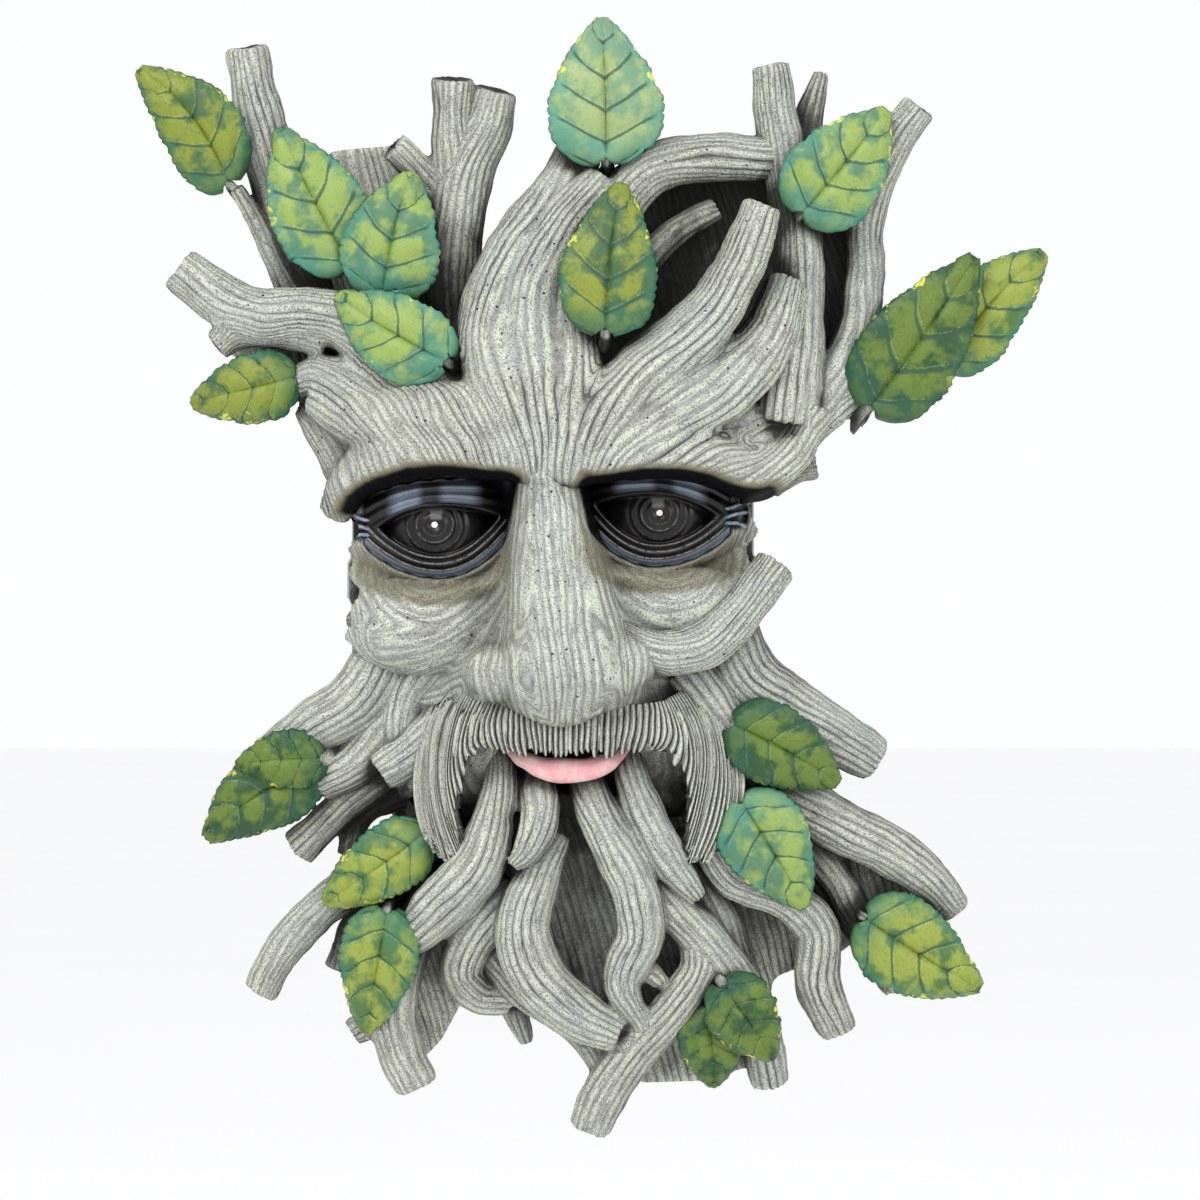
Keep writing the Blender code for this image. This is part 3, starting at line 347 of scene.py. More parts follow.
# How far out the back shell reaches under the pieces in front of it, the depth of its flat back, and its
# keyhole's room and middle, in metres. Its shoulders are left, right, bottom and top in squares.
SHELL_DEPTH = 0.0135
SHELL_SHOULDER = 0.0285
SHELL_BACK = 0.0012
SHELL_SHOULDERS = ((-23, -13, -29, -9), (9, 22.5, 9, 19.5))
KEYHOLE_ROOM = (0.008, 0.0105, 0.014)
KEYHOLE_UP = 0.041

# The plan of heights that tells where the dark washes and the painted shade of the hollows gather, in
# squares.
PLAN_STEP = 0.25
PLAN_LOW = np.array((-54.0, -62.0))
PLAN_CELLS = (432, 496)


def sizes():
    return bpy.context.scene.tree_face_sizes


def colours():
    return bpy.context.scene.tree_face_colours


def squares_to_metres():
    """The metres that one square stands for: across, out and up."""
    square = sizes().height / LAYOUT_HEIGHT
    return np.array((square, -sizes().relief / LAYOUT_RELIEF, square))


def placed(across, up, out):
    """Points of the model at places of the layout drawing."""
    stacked = np.stack(np.broadcast_arrays(across, out, up), axis=-1)
    return stacked * squares_to_metres()


def on_layout(points):
    """Places of the layout drawing, as across, up, out, for points of the model."""
    squares = points / squares_to_metres()
    return squares[:, 0], squares[:, 2], squares[:, 1]


def smooth_route(rows, steps):
    """A smooth curve through the rows, with steps points for each stretch between two of them."""
    rows = [np.array(row, float) for row in rows]
    ends = [2 * rows[0] - rows[1], *rows, 2 * rows[-1] - rows[-2]]
    route = []
    for a, b, c, d in zip(ends, ends[1:], ends[2:], ends[3:]):
        for step in range(steps):
            t = step / steps
            route.append(0.5 * (2 * b + (c - a) * t + (2 * a - 5 * b + 4 * c - d) * t**2
                                + (3 * b - a - 3 * c + d) * t**3))
    return np.array(route + [rows[-1]])


def soft_max(a, b, blend):
    return 0.5 * (a + b + np.sqrt((a - b) ** 2 + blend**2))


def soft_min(a, b, blend):
    return -soft_max(-a, -b, blend)


def ramp(value, low, high):
    """0 below low, 1 above high, and an even curve between."""
    share = np.clip((value - low) / (high - low), 0, 1)
    return share * share * (3 - 2 * share)


def dome(x, z, middle, radii, low, rise):
    """Height of an ellipsoid that stands on the level low, and falls away outside its outline."""
    reach = np.sqrt(((x - middle[0]) / radii[0]) ** 2 + ((z - middle[1]) / radii[1]) ** 2)
    return low + rise * np.sqrt(np.clip(1 - reach**2, 0, None)) - 9 * np.clip(reach - 1, 0, None)


def noise(places, seed):
    """Even noise from -1 to 1 at each place, a row of three numbers."""
    cell = np.floor(places).astype(np.int64)
    part = places - cell
    part = part * part * (3 - 2 * part)
    total = np.zeros(len(places))
    for corner in itertools.product((0, 1), repeat=3):
        key = (cell + corner) @ np.array((73856093, 19349663, 83492791)) + seed * 7919
        key = (key ^ (key >> 13)) * 1274126177
        key = key ^ (key >> 16)
        weight = np.prod(np.where(corner, part, 1 - part), axis=1)
        total += weight * ((key & 0xFFFF) / 32767.5 - 1)
    return total


def grain_noise(around, along, limb, pitch, length, seed):
    """Noise drawn out along the grain: pitch across it and length along it, in metres."""
    return noise(np.stack((around / pitch, along / length, limb * 7.31 + 0 * around), axis=1), seed)


def grain_phase(around, along, limb):
    """Which ridge of the grain a place lies on: whole numbers in the grooves, halves on the crests."""
    broad = grain_noise(around, along, limb, 0.009, 0.04, 3)
    fine = grain_noise(around, along, limb, 0.004, 0.012, 5)
    return around / GRAIN_PITCH + 0.75 * (broad + 0.4 * fine)


def grain_strength(around, along, limb):
    """How deep the grooves are cut, from 0.3 to 1."""
    return 0.3 + 0.7 * ramp(grain_noise(around, along, limb, 0.005, 0.018, 9), -0.55, 0.35)


def grain_height(around, along, limb, phase, strength):
    """Height of the carved grain: round ridges between narrow grooves, on broad swells."""
    crest = np.abs(np.sin(np.pi * phase)) ** 0.7
    swell = grain_noise(around, along, limb, 0.0062, 0.035, 11)
    return 1.25 * strength * (crest - 0.75) + 0.6 * swell


class PlanOfHeights:
    """How far the sculpture stands out over a fine grid of the layout, in squares."""

    def __init__(self):
        self.heights = np.zeros(PLAN_CELLS)
        self.across = PLAN_LOW[0] + PLAN_STEP * np.arange(PLAN_CELLS[0])
        self.up = PLAN_LOW[1] + PLAN_STEP * np.arange(PLAN_CELLS[1])
        grid = np.meshgrid(self.across, self.up, indexing="ij")
        self.heights = np.maximum(self.heights, face_relief(*grid))
        for corners in WEBS.values():
            inside = inside_outline(*grid, corners)
            self.heights = np.where(inside, np.maximum(self.heights, web_front()), self.heights)
        for table in (BRANCHES, ROOTS, TENDRILS):
            for rows in table.values():
                self.stamp(smooth_route(rows, 6), 1.0)
        for base, tip, width, bow, _ in LEAVES.values():
            self.stamp(leaf_discs(base, tip, width, bow), 0.15)

    def stamp(self, discs, roundness):
        """Raises the plan over discs of across, up, out, radius."""
        for across, up, out, radius in discs:
            low = np.floor((np.array((across, up)) - radius - PLAN_LOW) / PLAN_STEP).astype(int)
            high = low + int(2 * radius / PLAN_STEP) + 3
            window = np.s_[low[0]:high[0], low[1]:high[1]]
            dx = self.across[low[0]:high[0], None] - across
            dz = self.up[None, low[1]:high[1]] - up
            room = radius**2 - dx**2 - dz**2
            height = np.where(room > 0, out + roundness * np.sqrt(np.clip(room, 0, None)), 0)
            self.heights[window] = np.maximum(self.heights[window], height)

    def at(self, across, up):
        column = np.clip(np.round((across - PLAN_LOW[0]) / PLAN_STEP).astype(int), 0, PLAN_CELLS[0] - 1)
        row = np.clip(np.round((up - PLAN_LOW[1]) / PLAN_STEP).astype(int), 0, PLAN_CELLS[1] - 1)
        return self.heights[column, row]

    def shelter(self, across, up, out):
        """How much of the view out from a place is shut in by what stands around it, from 0 to 1."""
        total = np.zeros(len(across))
        turns = 12
        for turn in range(turns):
            angle = 2 * math.pi * turn / turns
            steepest = np.zeros(len(across))
            for reach in (0.9, 1.8, 3.2, 5.5):
                height = self.at(across + reach * math.cos(angle), up + reach * math.sin(angle))
                steepest = np.maximum(steepest, (height - out) / reach)
            total += np.clip(steepest / 1.6, 0, 1)
        return total / turns


def inside_outline(x, z, corners):
    inside = np.zeros(x.shape, bool)
    for (ax, az), (bx, bz) in zip(corners, corners[1:] + corners[:1]):
        crosses = (az > z) != (bz > z)
        at = ax + (bx - ax) * (z - az) / (bz - az if bz != az else 1)
        inside ^= crosses & (x < at)
    return inside


def web_front():
    return sizes().web_thickness / sizes().relief * LAYOUT_RELIEF


PLAN = {}


def plan():
    """The plan of heights, made once."""
    if "heights" not in PLAN:
        PLAN["heights"] = PlanOfHeights()
    return PLAN["heights"]


def eye_lines(x):
    """The upper and lower edge of the eye's opening, x squares from its middle towards the nose."""
    upper = 1.75 - np.where(x > 0.6, 0.03, 0.055) * (x - 0.6) ** 2
    lower = -3.1 + np.where(x > 0.3, 0.105, 0.08) * (x - 0.3) ** 2
    return upper, lower


def past_opening(x, z):
    """Squares outside the eye's opening, and under 0 inside it."""
    upper, lower = eye_lines(x)
    slope = 1 / np.sqrt(1 + (0.16 * x) ** 2)
    above, below = (z - upper) * slope, (lower - z) * slope
    return soft_max(above, below, 0.25), above > below


def lid_rim(over):
    """How far past the opening the upper and the lower lid reach."""
    return np.where(over, 2.75, 2.2)


def eye_relief(x, z):
    """Height of the ball and lids, in squares, x squares from the eye's middle towards the nose."""
    past, over = past_opening(x, z)
    ball = 10.6 + 4.3 * np.sqrt(np.clip(1 - (x / 5.6) ** 2 - ((z + 0.5) / 4.9) ** 2, 0.0, None))
    ring = np.hypot(x, z * 1.04)
    ball = ball - 0.12 * np.exp(-((ring - 1.4) / 0.22) ** 2) - 0.12 * np.exp(-((ring - 2.2) / 0.2) ** 2)
    ball = ball - 0.08 * np.exp(-((ring - 3.0) / 0.22) ** 2) - 0.3 * np.exp(-((ring / 0.6) ** 2))
    lids = 10.9 + 4.7 * np.sqrt(np.clip(1 - (x / 8.4) ** 2 - ((z + 0.6) / 6.9) ** 2, 0.0, None))
    pitch = np.where(over, 0.85, 0.72)
    folds = np.cos(2 * np.pi * (past / pitch - 0.32))
    lids = lids + 0.17 * folds * ramp(past, 0, 0.2) * (1 - ramp(past, 3.0, 3.8))
    return ball + (lids - ball) * ramp(past, -0.12, 0.12)


def nose_relief(x, z):
    """Bridge, tip and the two wings of the nose."""
    down = np.clip((9.5 - z) / 20, 0, 1)
    middle = -4.1 + 2.3 * down
    half_width = 3.5 + 2.6 * down
    bridge = 19.7 + 5.6 * down**1.3 - 4.4 * (np.abs(x - middle) / half_width) ** 3.6
    bridge = bridge - 3 * np.clip(z - 13, 0, None) - 2.2 * np.clip(-10 - z, 0, None)
    tip = dome(x, z, (-2.7, -8.5), (5.7, 6.1), 19.0, 6.9)
    left_wing = dome(x, z, (-8.2, -9.1), (4.3, 3.0), 17.0, 5.0)
    right_wing = dome(x, z, (2.3, -8.2), (4.3, 3.0), 17.0, 5.0)
    wings = np.maximum(left_wing, right_wing)
    middle_part = soft_max(bridge, tip, 2.6)
    crease = np.exp(-((middle_part - wings) / 0.9) ** 2) * ramp(wings, 14, 17)
    return soft_max(middle_part, wings, 2.4) - 0.3 * crease


def crow_folds(dx, dz):
    """Three folds that spread from an eye's outer corner: their height from 0 to 1, and where they lie."""
    outside = ramp(-dx, 5.2, 6.4) * (1 - ramp(-dx, 8.4, 9.6))
    folds = np.zeros(dx.shape)
    for fold in (-1, 0, 1):
        line = dz + 0.2 - fold * (0.75 + 0.2 * (-dx - 6)) - 0.25 * np.sin(dx * 1.3 + fold)
        folds = np.maximum(folds, np.exp(-((line / 0.36) ** 2)))
    near = np.exp(-(((dz + 0.2) / 1.7) ** 4))
    return folds * outside, near * outside


def face_relief(x, z):
    """How far the face stands out from the wall, in squares, and under 0 outside its outline."""
    ragged = 0.45 * np.sin(z * 0.9) + 0.3 * np.sin(z * 2.1 + 1)
    outline = (np.abs(x + ragged - FACE_MIDDLE) / FACE_HALF_WIDTH) ** 3 + (np.abs(z) / FACE_HALF_HEIGHT) ** 3
    surface = -2 + 17.5 * np.clip(1 - outline, 0, None) ** 0.45
    left_cheek = dome(x, z, (-17.0, -4.6), (7.4, 5.0), 11.5, 7.0)
    right_cheek = dome(x, z, (9.6, -3.6), (7.8, 4.9), 11.5, 6.2)
    surface = soft_max(surface, soft_max(left_cheek, right_cheek, 0.5), 1.6)
    for across, up, inward in EYES.values():
        dx, dz = (x - across) * inward, z - up
        bowl = 10.7 + 9 * ((dx / 9.0) ** 4 + ((dz + 0.4) / 6.8) ** 4)
        surface = soft_min(surface, bowl, 0.6)
        past, over = past_opening(dx, dz)
        surface = soft_max(surface, eye_relief(dx, dz) - 6 * ramp(past - lid_rim(over), 0.3, 1.7), 0.4)
        pouch = np.exp(-(((past - 3.4) / 1.1) ** 2)) * np.where(over, 0, 1) * ramp(-dz, -0.5, 2.0)
        surface = surface + 1.7 * pouch * ramp(8.2 - np.abs(dx), 0, 2.5)
        folds, _ = crow_folds(dx, dz)
        surface = surface + 0.8 * folds
    surface = soft_max(surface, nose_relief(x, z), 0.9)
    mouth = 10 + 9 * (((x + 2) / 9) ** 4 + ((z + 18.5) / 3.6) ** 4)
    surface = soft_min(surface, mouth, 0.6)
    return np.where(outline < 1, np.maximum(surface, 0.4), -1.0)


def face_paint(x, z):
    """Shares of the face's paints at a place: black gloss and olive."""
    gloss = np.zeros(x.shape)
    olive = np.zeros(x.shape)
    for across, up, inward in EYES.values():
        dx, dz = (x - across) * inward, z - up
        past, over = past_opening(dx, dz)
        side = ramp(9.0 - np.abs(dx), 0, 2.6)
        above = np.where(dz > 0, 1, 1 - ramp(past, 2.0, 2.6))
        inner = (1 - ramp(dx + 0.22 * (4 - dz), 7.6, 9.0)) * (1 - ramp(-dx, 6.4, 8.0))
        _, corner = crow_folds(dx, dz)
        gloss = np.maximum(gloss, np.maximum(above * inner, 0.9 * corner))
        below = ramp(past, 1.9, 2.6) * (1 - ramp(past, 4.3, 5.4))
        below = below * np.where(over, 0, 1) * ramp(-dz, -1.0, 2.0)
        olive = np.maximum(olive, side * below)
    return gloss, olive


def leaf_half_width(along):
    """Half the leaf's width as a share of its greatest width: broad near the base, pointed at the tip."""
    return 0.5 * 2.41 * along**0.45 * (1 - along) ** 0.95


def leaf_discs(base, tip, width, bow):
    """Discs of across, up, out, radius that cover a leaf."""
    base, tip = np.array(base), np.array(tip)
    discs = []
    for share in np.linspace(0.06, 0.94, 9):
        along, up, out = base + (tip - base) * share
        discs.append((along, up, out, max(0.4, leaf_half_width(share) * width)))
    return discs


def deselect_all():
    if bpy.context.object and bpy.context.object.mode != "OBJECT":
        bpy.ops.object.mode_set(mode="OBJECT")
    bpy.ops.object.select_all(action="DESELECT")


def pick(thing):
    """Selects one object alone and makes it the active one."""
    deselect_all()
    thing.select_set(True)
    bpy.context.view_layer.objects.active = thing


def apply_modifier(thing, kind, **settings):
    pick(thing)
    modifier = thing.modifiers.new(kind.lower(), kind)
    for name, value in settings.items():
        setattr(modifier, name, value)
    bpy.ops.object.modifier_apply(modifier=modifier.name)


def close_mesh(thing, gap=0.00002):
    """Welds loose caps and turns all faces outwards."""
    pick(thing)
    bpy.ops.object.mode_set(mode="EDIT")
    bpy.ops.mesh.select_all(action="SELECT")
    bpy.ops.mesh.remove_doubles(threshold=gap)
    bpy.ops.mesh.normals_make_consistent(inside=False)
    bpy.ops.object.mode_set(mode="OBJECT")
    solid = bmesh.new()
    solid.from_mesh(thing.data)
    inside_out = solid.calc_volume(signed=True) < 0
    solid.free()
    if inside_out:
        bpy.ops.object.mode_set(mode="EDIT")
        bpy.ops.mesh.flip_normals()
        bpy.ops.object.mode_set(mode="OBJECT")


def places_of(thing):
    points = np.empty(len(thing.data.vertices) * 3)
    thing.data.vertices.foreach_get("co", points)
    return points.reshape(-1, 3)


def outward_of(thing):
    normals = np.empty(len(thing.data.vertices) * 3)
    thing.data.vertices.foreach_get("normal", normals)
    return normals.reshape(-1, 3)


def put_places(thing, points):
    thing.data.vertices.foreach_set("co", np.ascontiguousarray(points).ravel())
    thing.data.update()


def put_number(thing, name, values):
    """Keeps one number for each point of the mesh, for its paint to read."""
    layer = thing.data.attributes.new(name, "FLOAT", "POINT")
    layer.data.foreach_set("value", np.ascontiguousarray(values, np.float32))


def put_vector(thing, name, *columns):
    layer = thing.data.attributes.new(name, "FLOAT_VECTOR", "POINT")
    stacked = np.stack(np.broadcast_arrays(*columns), axis=-1)
    layer.data.foreach_set("vector", np.ascontiguousarray(stacked, np.float32).ravel())


def settle(thing, finish):
    """Hands a finished piece over: smooth, painted, on its body, in the place of the cast solid."""
    pick(thing)
    bpy.ops.object.shade_smooth()
    thing.data.materials.clear()
    thing.data.materials.append(finish)
    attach(thing, BODY)
    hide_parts(CAD_NODE)


class Guides:
    """The middle lines of limbs, from which the grain on their skin takes its run."""

    def __init__(self, limbs):
        routes = [smooth_route(rows, LIMB_STEPS) for rows in limbs]
        square = squares_to_metres()[0]
        self.starts = np.cumsum([0] + [len(route) for route in routes])[:-1]
        self.points = np.concatenate([placed(r[:, 0], r[:, 1], r[:, 2]) for r in routes])
        self.radii = np.concatenate([r[:, 3] * square for r in routes])
        self.limb = np.concatenate([np.full(len(r), number) for number, r in enumerate(routes)])
        self.girth = np.concatenate([np.full(len(r), r[:, 3].mean() * square) for r in routes])
        self.along, self.ahead, self.ends = [], [], []
        for route in routes:
            points = placed(route[:, 0], route[:, 1], route[:, 2])
            ahead = np.gradient(points, axis=0)
            self.ahead.append(ahead / np.linalg.norm(ahead, axis=1)[:, None])
            steps = np.linalg.norm(np.diff(points, axis=0), axis=1)
            length = np.concatenate(([0], np.cumsum(steps)))
            self.along.append(length)
            self.ends.append(np.stack((length, length[-1] - length), axis=1))
        self.ahead = np.concatenate(self.ahead)
        self.along = np.concatenate(self.along)
        self.ends = np.concatenate(self.ends)

    def read(self, points):
        """For each point: metres around and along its limb, the limb, room to the next, past its end."""
        answers = []
        for part in np.array_split(points, max(1, len(points) // 3000)):
            gap = np.linalg.norm(part[:, None] - self.points[None], axis=2) - self.radii
            nearest = gap.argmin(1)
            per_limb = np.minimum.reduceat(gap, self.starts, axis=1)
            rows = np.arange(len(part))
            own = self.limb[nearest]
            first = per_limb[rows, own].copy()
            per_limb[rows, own] = np.inf
            room = per_limb.min(1) - first
            ahead = self.ahead[nearest]
            away = part - self.points[nearest]
            forward = (away * ahead).sum(1)
            radial = away - forward[:, None] * ahead
            front = np.array(OUTLOOK) - ahead * (ahead @ np.array(OUTLOOK))[:, None]
            front /= np.linalg.norm(front, axis=1)[:, None]
            side = np.cross(ahead, front)
            angle = np.arctan2((radial * side).sum(1), (radial * front).sum(1))
            past_end = np.where(self.ends[nearest, 0] < 1e-6, -forward,
                                np.where(self.ends[nearest, 1] < 1e-6, forward, -1))
            inset = np.linalg.norm(radial, axis=1) / self.radii[nearest]
            answers.append(np.stack((angle * self.girth[nearest], self.along[nearest] + forward, own, room,
                                     past_end / self.radii[nearest], inset), axis=1))
        return np.concatenate(answers).T


class Flow:
    """Lines drawn over a broad surface, between which the grain runs on without a break."""

    def __init__(self, lines):
        self.lines = []
        for ridge, rows in lines:
            route = smooth_route(rows, LIMB_STEPS)
            ahead = np.gradient(route, axis=0)
            ahead /= np.linalg.norm(ahead, axis=1)[:, None]
            steps = np.linalg.norm(np.diff(route, axis=0), axis=1)
            length = np.concatenate((np.cumsum(steps[::-1])[::-1], [0]))
            self.lines.append((ridge, route, ahead, length))

    def read(self, points, outward, roundness=1.0):
        """For each point: metres across the grain and metres along it."""
        places = np.stack(on_layout(points), axis=1)
        weights, across, along = (np.zeros(len(points)) for _ in range(3))
        for ridge, route, ahead, length in self.lines:
            nearest = np.empty(len(places), int)
            for part in np.array_split(np.arange(len(places)), 1 + len(places) // 20000):
                gaps = ((places[part, None] - route[None]) ** 2).sum(2)
                nearest[part] = gaps.argmin(1)
            away = places - route[nearest]
            run = ahead[nearest]
            level = np.hypot(run[:, 0], run[:, 1]) + 1e-9
            beside = (-away[:, 0] * run[:, 1] + away[:, 1] * run[:, 0]) / level
            lean = (-outward[:, 0] * run[:, 1] + outward[:, 2] * run[:, 0]) / level
            rounding = roundness * (LIMB_REACH - away[:, 2]) * np.clip(lean, -1, 1)
            weight = 1 / ((away**2).sum(1) + 0.6) ** 3
            weights += weight
            across += weight * (ridge + beside + np.clip(rounding, -5, 5))
            along += weight * (length[nearest] - (away * run).sum(1))
        square = squares_to_metres()[0]
        return across / weights * square, along / weights * square


def limb_mesh(name, limbs, sides):
    """Round limbs of changing girth along smooth routes, as one mesh with closed ends."""
    curve = bpy.data.curves.new(name, "CURVE")
    curve.dimensions = "3D"
    curve.bevel_depth = squares_to_metres()[0]
    curve.bevel_resolution = sides
    curve.use_fill_caps = True
    for rows in limbs:
        route = smooth_route(rows, LIMB_STEPS)
        points = placed(route[:, 0], route[:, 1], route[:, 2])
        spline = curve.splines.new("POLY")
        spline.points.add(len(route) - 1)
        for point, place, radius in zip(spline.points, points, route[:, 3]):
            point.co = (*place, 1)
            point.radius = radius
    thing = bpy.data.objects.new(name, curve)
    bpy.context.scene.collection.objects.link(thing)
    pick(thing)
    bpy.ops.object.convert(target="MESH")
    close_mesh(thing)
    return thing


def paint_marks(thing, around, along, area, height, phase, strength, seam=0.0, cap=0.0, open_share=1.0):
    """Keeps on the mesh what its paint reads: the run of the grain, its ridges, and how hidden a place is,
    for the painted shade of the hollows.
    """
    outward = outward_of(thing)
    places = on_layout(places_of(thing))
    # How hidden a place is, less where it turns from the front: the paint makes hidden places dark, as dark
    # washes and painted shade.
    shelter = plan().shelter(*places) * ramp(-outward[:, 1], -0.9, -0.1) * open_share
    put_vector(thing, "grain", around, along, area * 0.01)
    put_vector(thing, "carving", phase, strength, height)
    put_vector(thing, "hidden", shelter, seam + 0 * shelter, cap + 0 * shelter)
    # How squarely a place faces the front; the paints darken the sides turned away with it: painted shade.
    put_number(thing, "facing", np.clip(-outward[:, 1], 0, 1))


def merge_limbs(thing):
    """Softens the limbs into one broad brow, and leaves the crown's branches round."""
    x, z, _ = on_layout(places_of(thing))
    share = (1 - ramp(z, 19.5, 27)) * (0.35 + 0.65 * ramp(z, 10.2, 13.5)) * ramp(z, 6.5, 8.5)
    share = share * ramp(x, -29, -24) * (1 - ramp(x, 17.5, 21))
    group = thing.vertex_groups.new(name="brow")
    for level in range(1, 11):
        chosen = np.flatnonzero(np.round(share * 10) == level)
        group.add(chosen.tolist(), level / 10, "REPLACE")
    apply_modifier(thing, "SMOOTH", factor=0.5, iterations=MERGE_PASSES, vertex_group="brow")
    thing.vertex_groups.clear()


def carve_limbs(name, limbs, skin, depth=None, flow=None):
    """Limbs fused into one skin, with grain carved along each, or along the lines of a flow."""
    depth = sizes().groove_depth if depth is None else depth
    thing = limb_mesh(name, limbs, 6)
    apply_modifier(thing, "REMESH", mode="VOXEL", voxel_size=skin)
    apply_modifier(thing, "SMOOTH", factor=0.5, iterations=SOFT_PASSES)
    if flow:
        merge_limbs(thing)
    points = places_of(thing)
    outward = outward_of(thing)
    around, along, limb, room, past_end, inset = Guides(limbs).read(points)
    cap = ramp(past_end, 0.05, 0.3)
    seam = 1 - ramp(room, 0.0, 0.0014)
    fade = ramp(room, 0.0, 0.0016)
    if flow:
        around, along = Flow(flow).read(points, outward)
        x, z, _ = on_layout(points)
        brow = (1 - ramp(z, 20, 27)) * ramp(z, 8, 10)
        seam, fade, cap = seam * (1 - brow), fade + (1 - fade) * brow, cap * (1 - brow)
        limb = 0 * limb
        under = ramp(-outward[:, 2], 0.25, 0.95) * (1 - ramp(z, 12.5, 14))
        under = under * ramp(z, 5.5, 7.0) * ramp(20 - x, 0, 3)
        under = under * (1 - np.exp(-(((x + 4) / 2.9) ** 4)))
        put_number(thing, "under", under)
        fade = fade * (1 - under)
    phase = grain_phase(around, along, limb)
    strength = grain_strength(around, along, limb) * fade * (1 - cap)
    height = grain_height(around, along, limb, phase, strength) * fade * (1 - cap)
    rings = np.cos(2 * np.pi * inset * 3.2) * 0.25 + 0.35 * noise(points / 0.0013, 13)
    lumps = 0.0005 * noise(points / 0.007, 17) + 0.0002 * noise(points / 0.003, 19)
    points = points + outward * ((height + rings * cap) * depth + lumps)[:, None]
    points[:, 1] = np.minimum(points[:, 1], -0.0002)
    put_places(thing, points)
    paint_marks(thing, around, along, limb, height, phase, strength, seam, cap)
    return thing


def grid_piece(name, low, high, step, height_of, base_out):
    """A closed block whose front follows a height over a fine grid, cut where that falls below its base."""
    columns = round((high[0] - low[0]) / step)
    rows = round((high[1] - low[1]) / step)
    deselect_all()
    bpy.ops.mesh.primitive_grid_add(x_subdivisions=columns, y_subdivisions=rows, size=1)
    thing = bpy.context.active_object
    thing.name = thing.data.name = name
    points = places_of(thing)
    across = low[0] + (points[:, 0] + 0.5) * (high[0] - low[0])
    up = low[1] + (points[:, 1] + 0.5) * (high[1] - low[1])
    out = height_of(across, up)
    put_places(thing, placed(across, up, out))
    pick(thing)
    bpy.ops.object.mode_set(mode="EDIT")
    bpy.ops.mesh.select_all(action="DESELECT")
    bpy.ops.object.mode_set(mode="OBJECT")
    thing.data.vertices.foreach_set("select", out < base_out)
    bpy.ops.object.mode_set(mode="EDIT")
    bpy.ops.mesh.delete(type="VERT")
    bpy.ops.mesh.select_all(action="SELECT")
    bpy.ops.mesh.normals_make_consistent(inside=False)
    bpy.ops.mesh.select_mode(type="EDGE")
    bpy.ops.mesh.select_all(action="DESELECT")
    bpy.ops.mesh.select_non_manifold()
    back = -base_out * sizes().relief / LAYOUT_RELIEF
    bpy.ops.mesh.extrude_region_move()
    bpy.ops.object.mode_set(mode="OBJECT")
    chosen = np.empty(len(thing.data.vertices), bool)
    thing.data.vertices.foreach_get("select", chosen)
    points = places_of(thing)
    points[chosen, 1] = back
    put_places(thing, points)
    bpy.ops.object.mode_set(mode="EDIT")
    bpy.ops.mesh.edge_face_add()
    bpy.ops.mesh.select_all(action="SELECT")
    bpy.ops.mesh.normals_make_consistent(inside=False)
    bpy.ops.object.mode_set(mode="OBJECT")
    return thing


def carve_face():
    """The face in the middle, with upright grain on the nose and curved grain round the eyes."""
    def height_of(x, z):
        out = face_relief(x, z)
        for across, up, inward in EYES.values():
            dx = (x - across) * inward
            past, over = past_opening(dx, z - up)
            out = out - 0.9 * (1 - ramp(past - lid_rim(over), -0.4, 0.3)) * ramp(dx, -7.4, -6.2)
        return out

    thing = grid_piece("face", FACE_LOW, FACE_HIGH, FACE_STEP, height_of, 3.0)
    points = places_of(thing)
    outward = outward_of(thing)
    x, z, _ = on_layout(points)
    around, along = Flow(FACE_FLOW).read(points, outward, 0.15)
    gloss, olive = face_paint(x, z)
    smooth = np.clip(gloss + 0.5 * olive, 0, 1)
    phase = grain_phase(around, along, 0 * x)
    on_cheek = ramp(np.abs(x + 2.5), 5.5, 8.5)
    strength = (0.6 - 0.2 * on_cheek) * grain_strength(around, along, 0 * x) * (1 - smooth)
    height = grain_height(around, along, 0 * x, phase, strength) * (1 - smooth)
    lumps = 0.0002 * noise(points / 0.004, 17)
    points = points + outward * (height * 0.6 * sizes().groove_depth + lumps * (1 - smooth))[:, None]
    put_places(thing, points)
    # The crests of the crow's-feet folds join the height kept for the paint, which puts painted glints on
    # them.
    for middle, up, inward in EYES.values():
        height = height + 1.6 * crow_folds((x - middle) * inward, z - up)[0] ** 3
    # Less of the painted shade and dark washes of the hollows on the nose and at the face's sides.
    on_nose = np.exp(-(((x + 4) / 3.4) ** 4)) * ramp(z, -6, 2)
    at_side = ramp(np.abs(x - FACE_MIDDLE), 14.5, 17.5)
    paint_marks(thing, around, along, 0 * x, height, phase, strength,
                open_share=(1 - 0.8 * on_nose) * (1 - 0.55 * at_side))
    put_number(thing, "gloss", gloss)
    put_number(thing, "olive", olive)
    return thing


def carve_eye(side):
    """One eye: the ball with its carved rings, and the ridged lids round it."""
    across, up, inward = EYES[side]

    def height_of(x, z):
        dx, dz = (x - across) * inward, z - up
        past, over = past_opening(dx, dz)
        rim = lid_rim(over) + 0.08 * np.sin(3 * dx)
        return eye_relief(dx, dz) - 12 * np.clip(past - rim, 0, None) - 9 * np.clip(-dx - 6.9, 0, None)

    low, high = (across - 9.2, up - 7.2), (across + 9.2, up + 6.4)
    thing = grid_piece(f"eye_{side}", low, high, EYE_STEP, height_of, 9.6)
    x, z, _ = on_layout(places_of(thing))
    dx, dz = (x - across) * inward, z - up
    past, over = past_opening(dx, dz)
    put_vector(thing, "lid", past, over, np.hypot(dx, dz * 1.04))
    put_vector(thing, "eye", dx, dz, 0 * dx)
    return thing


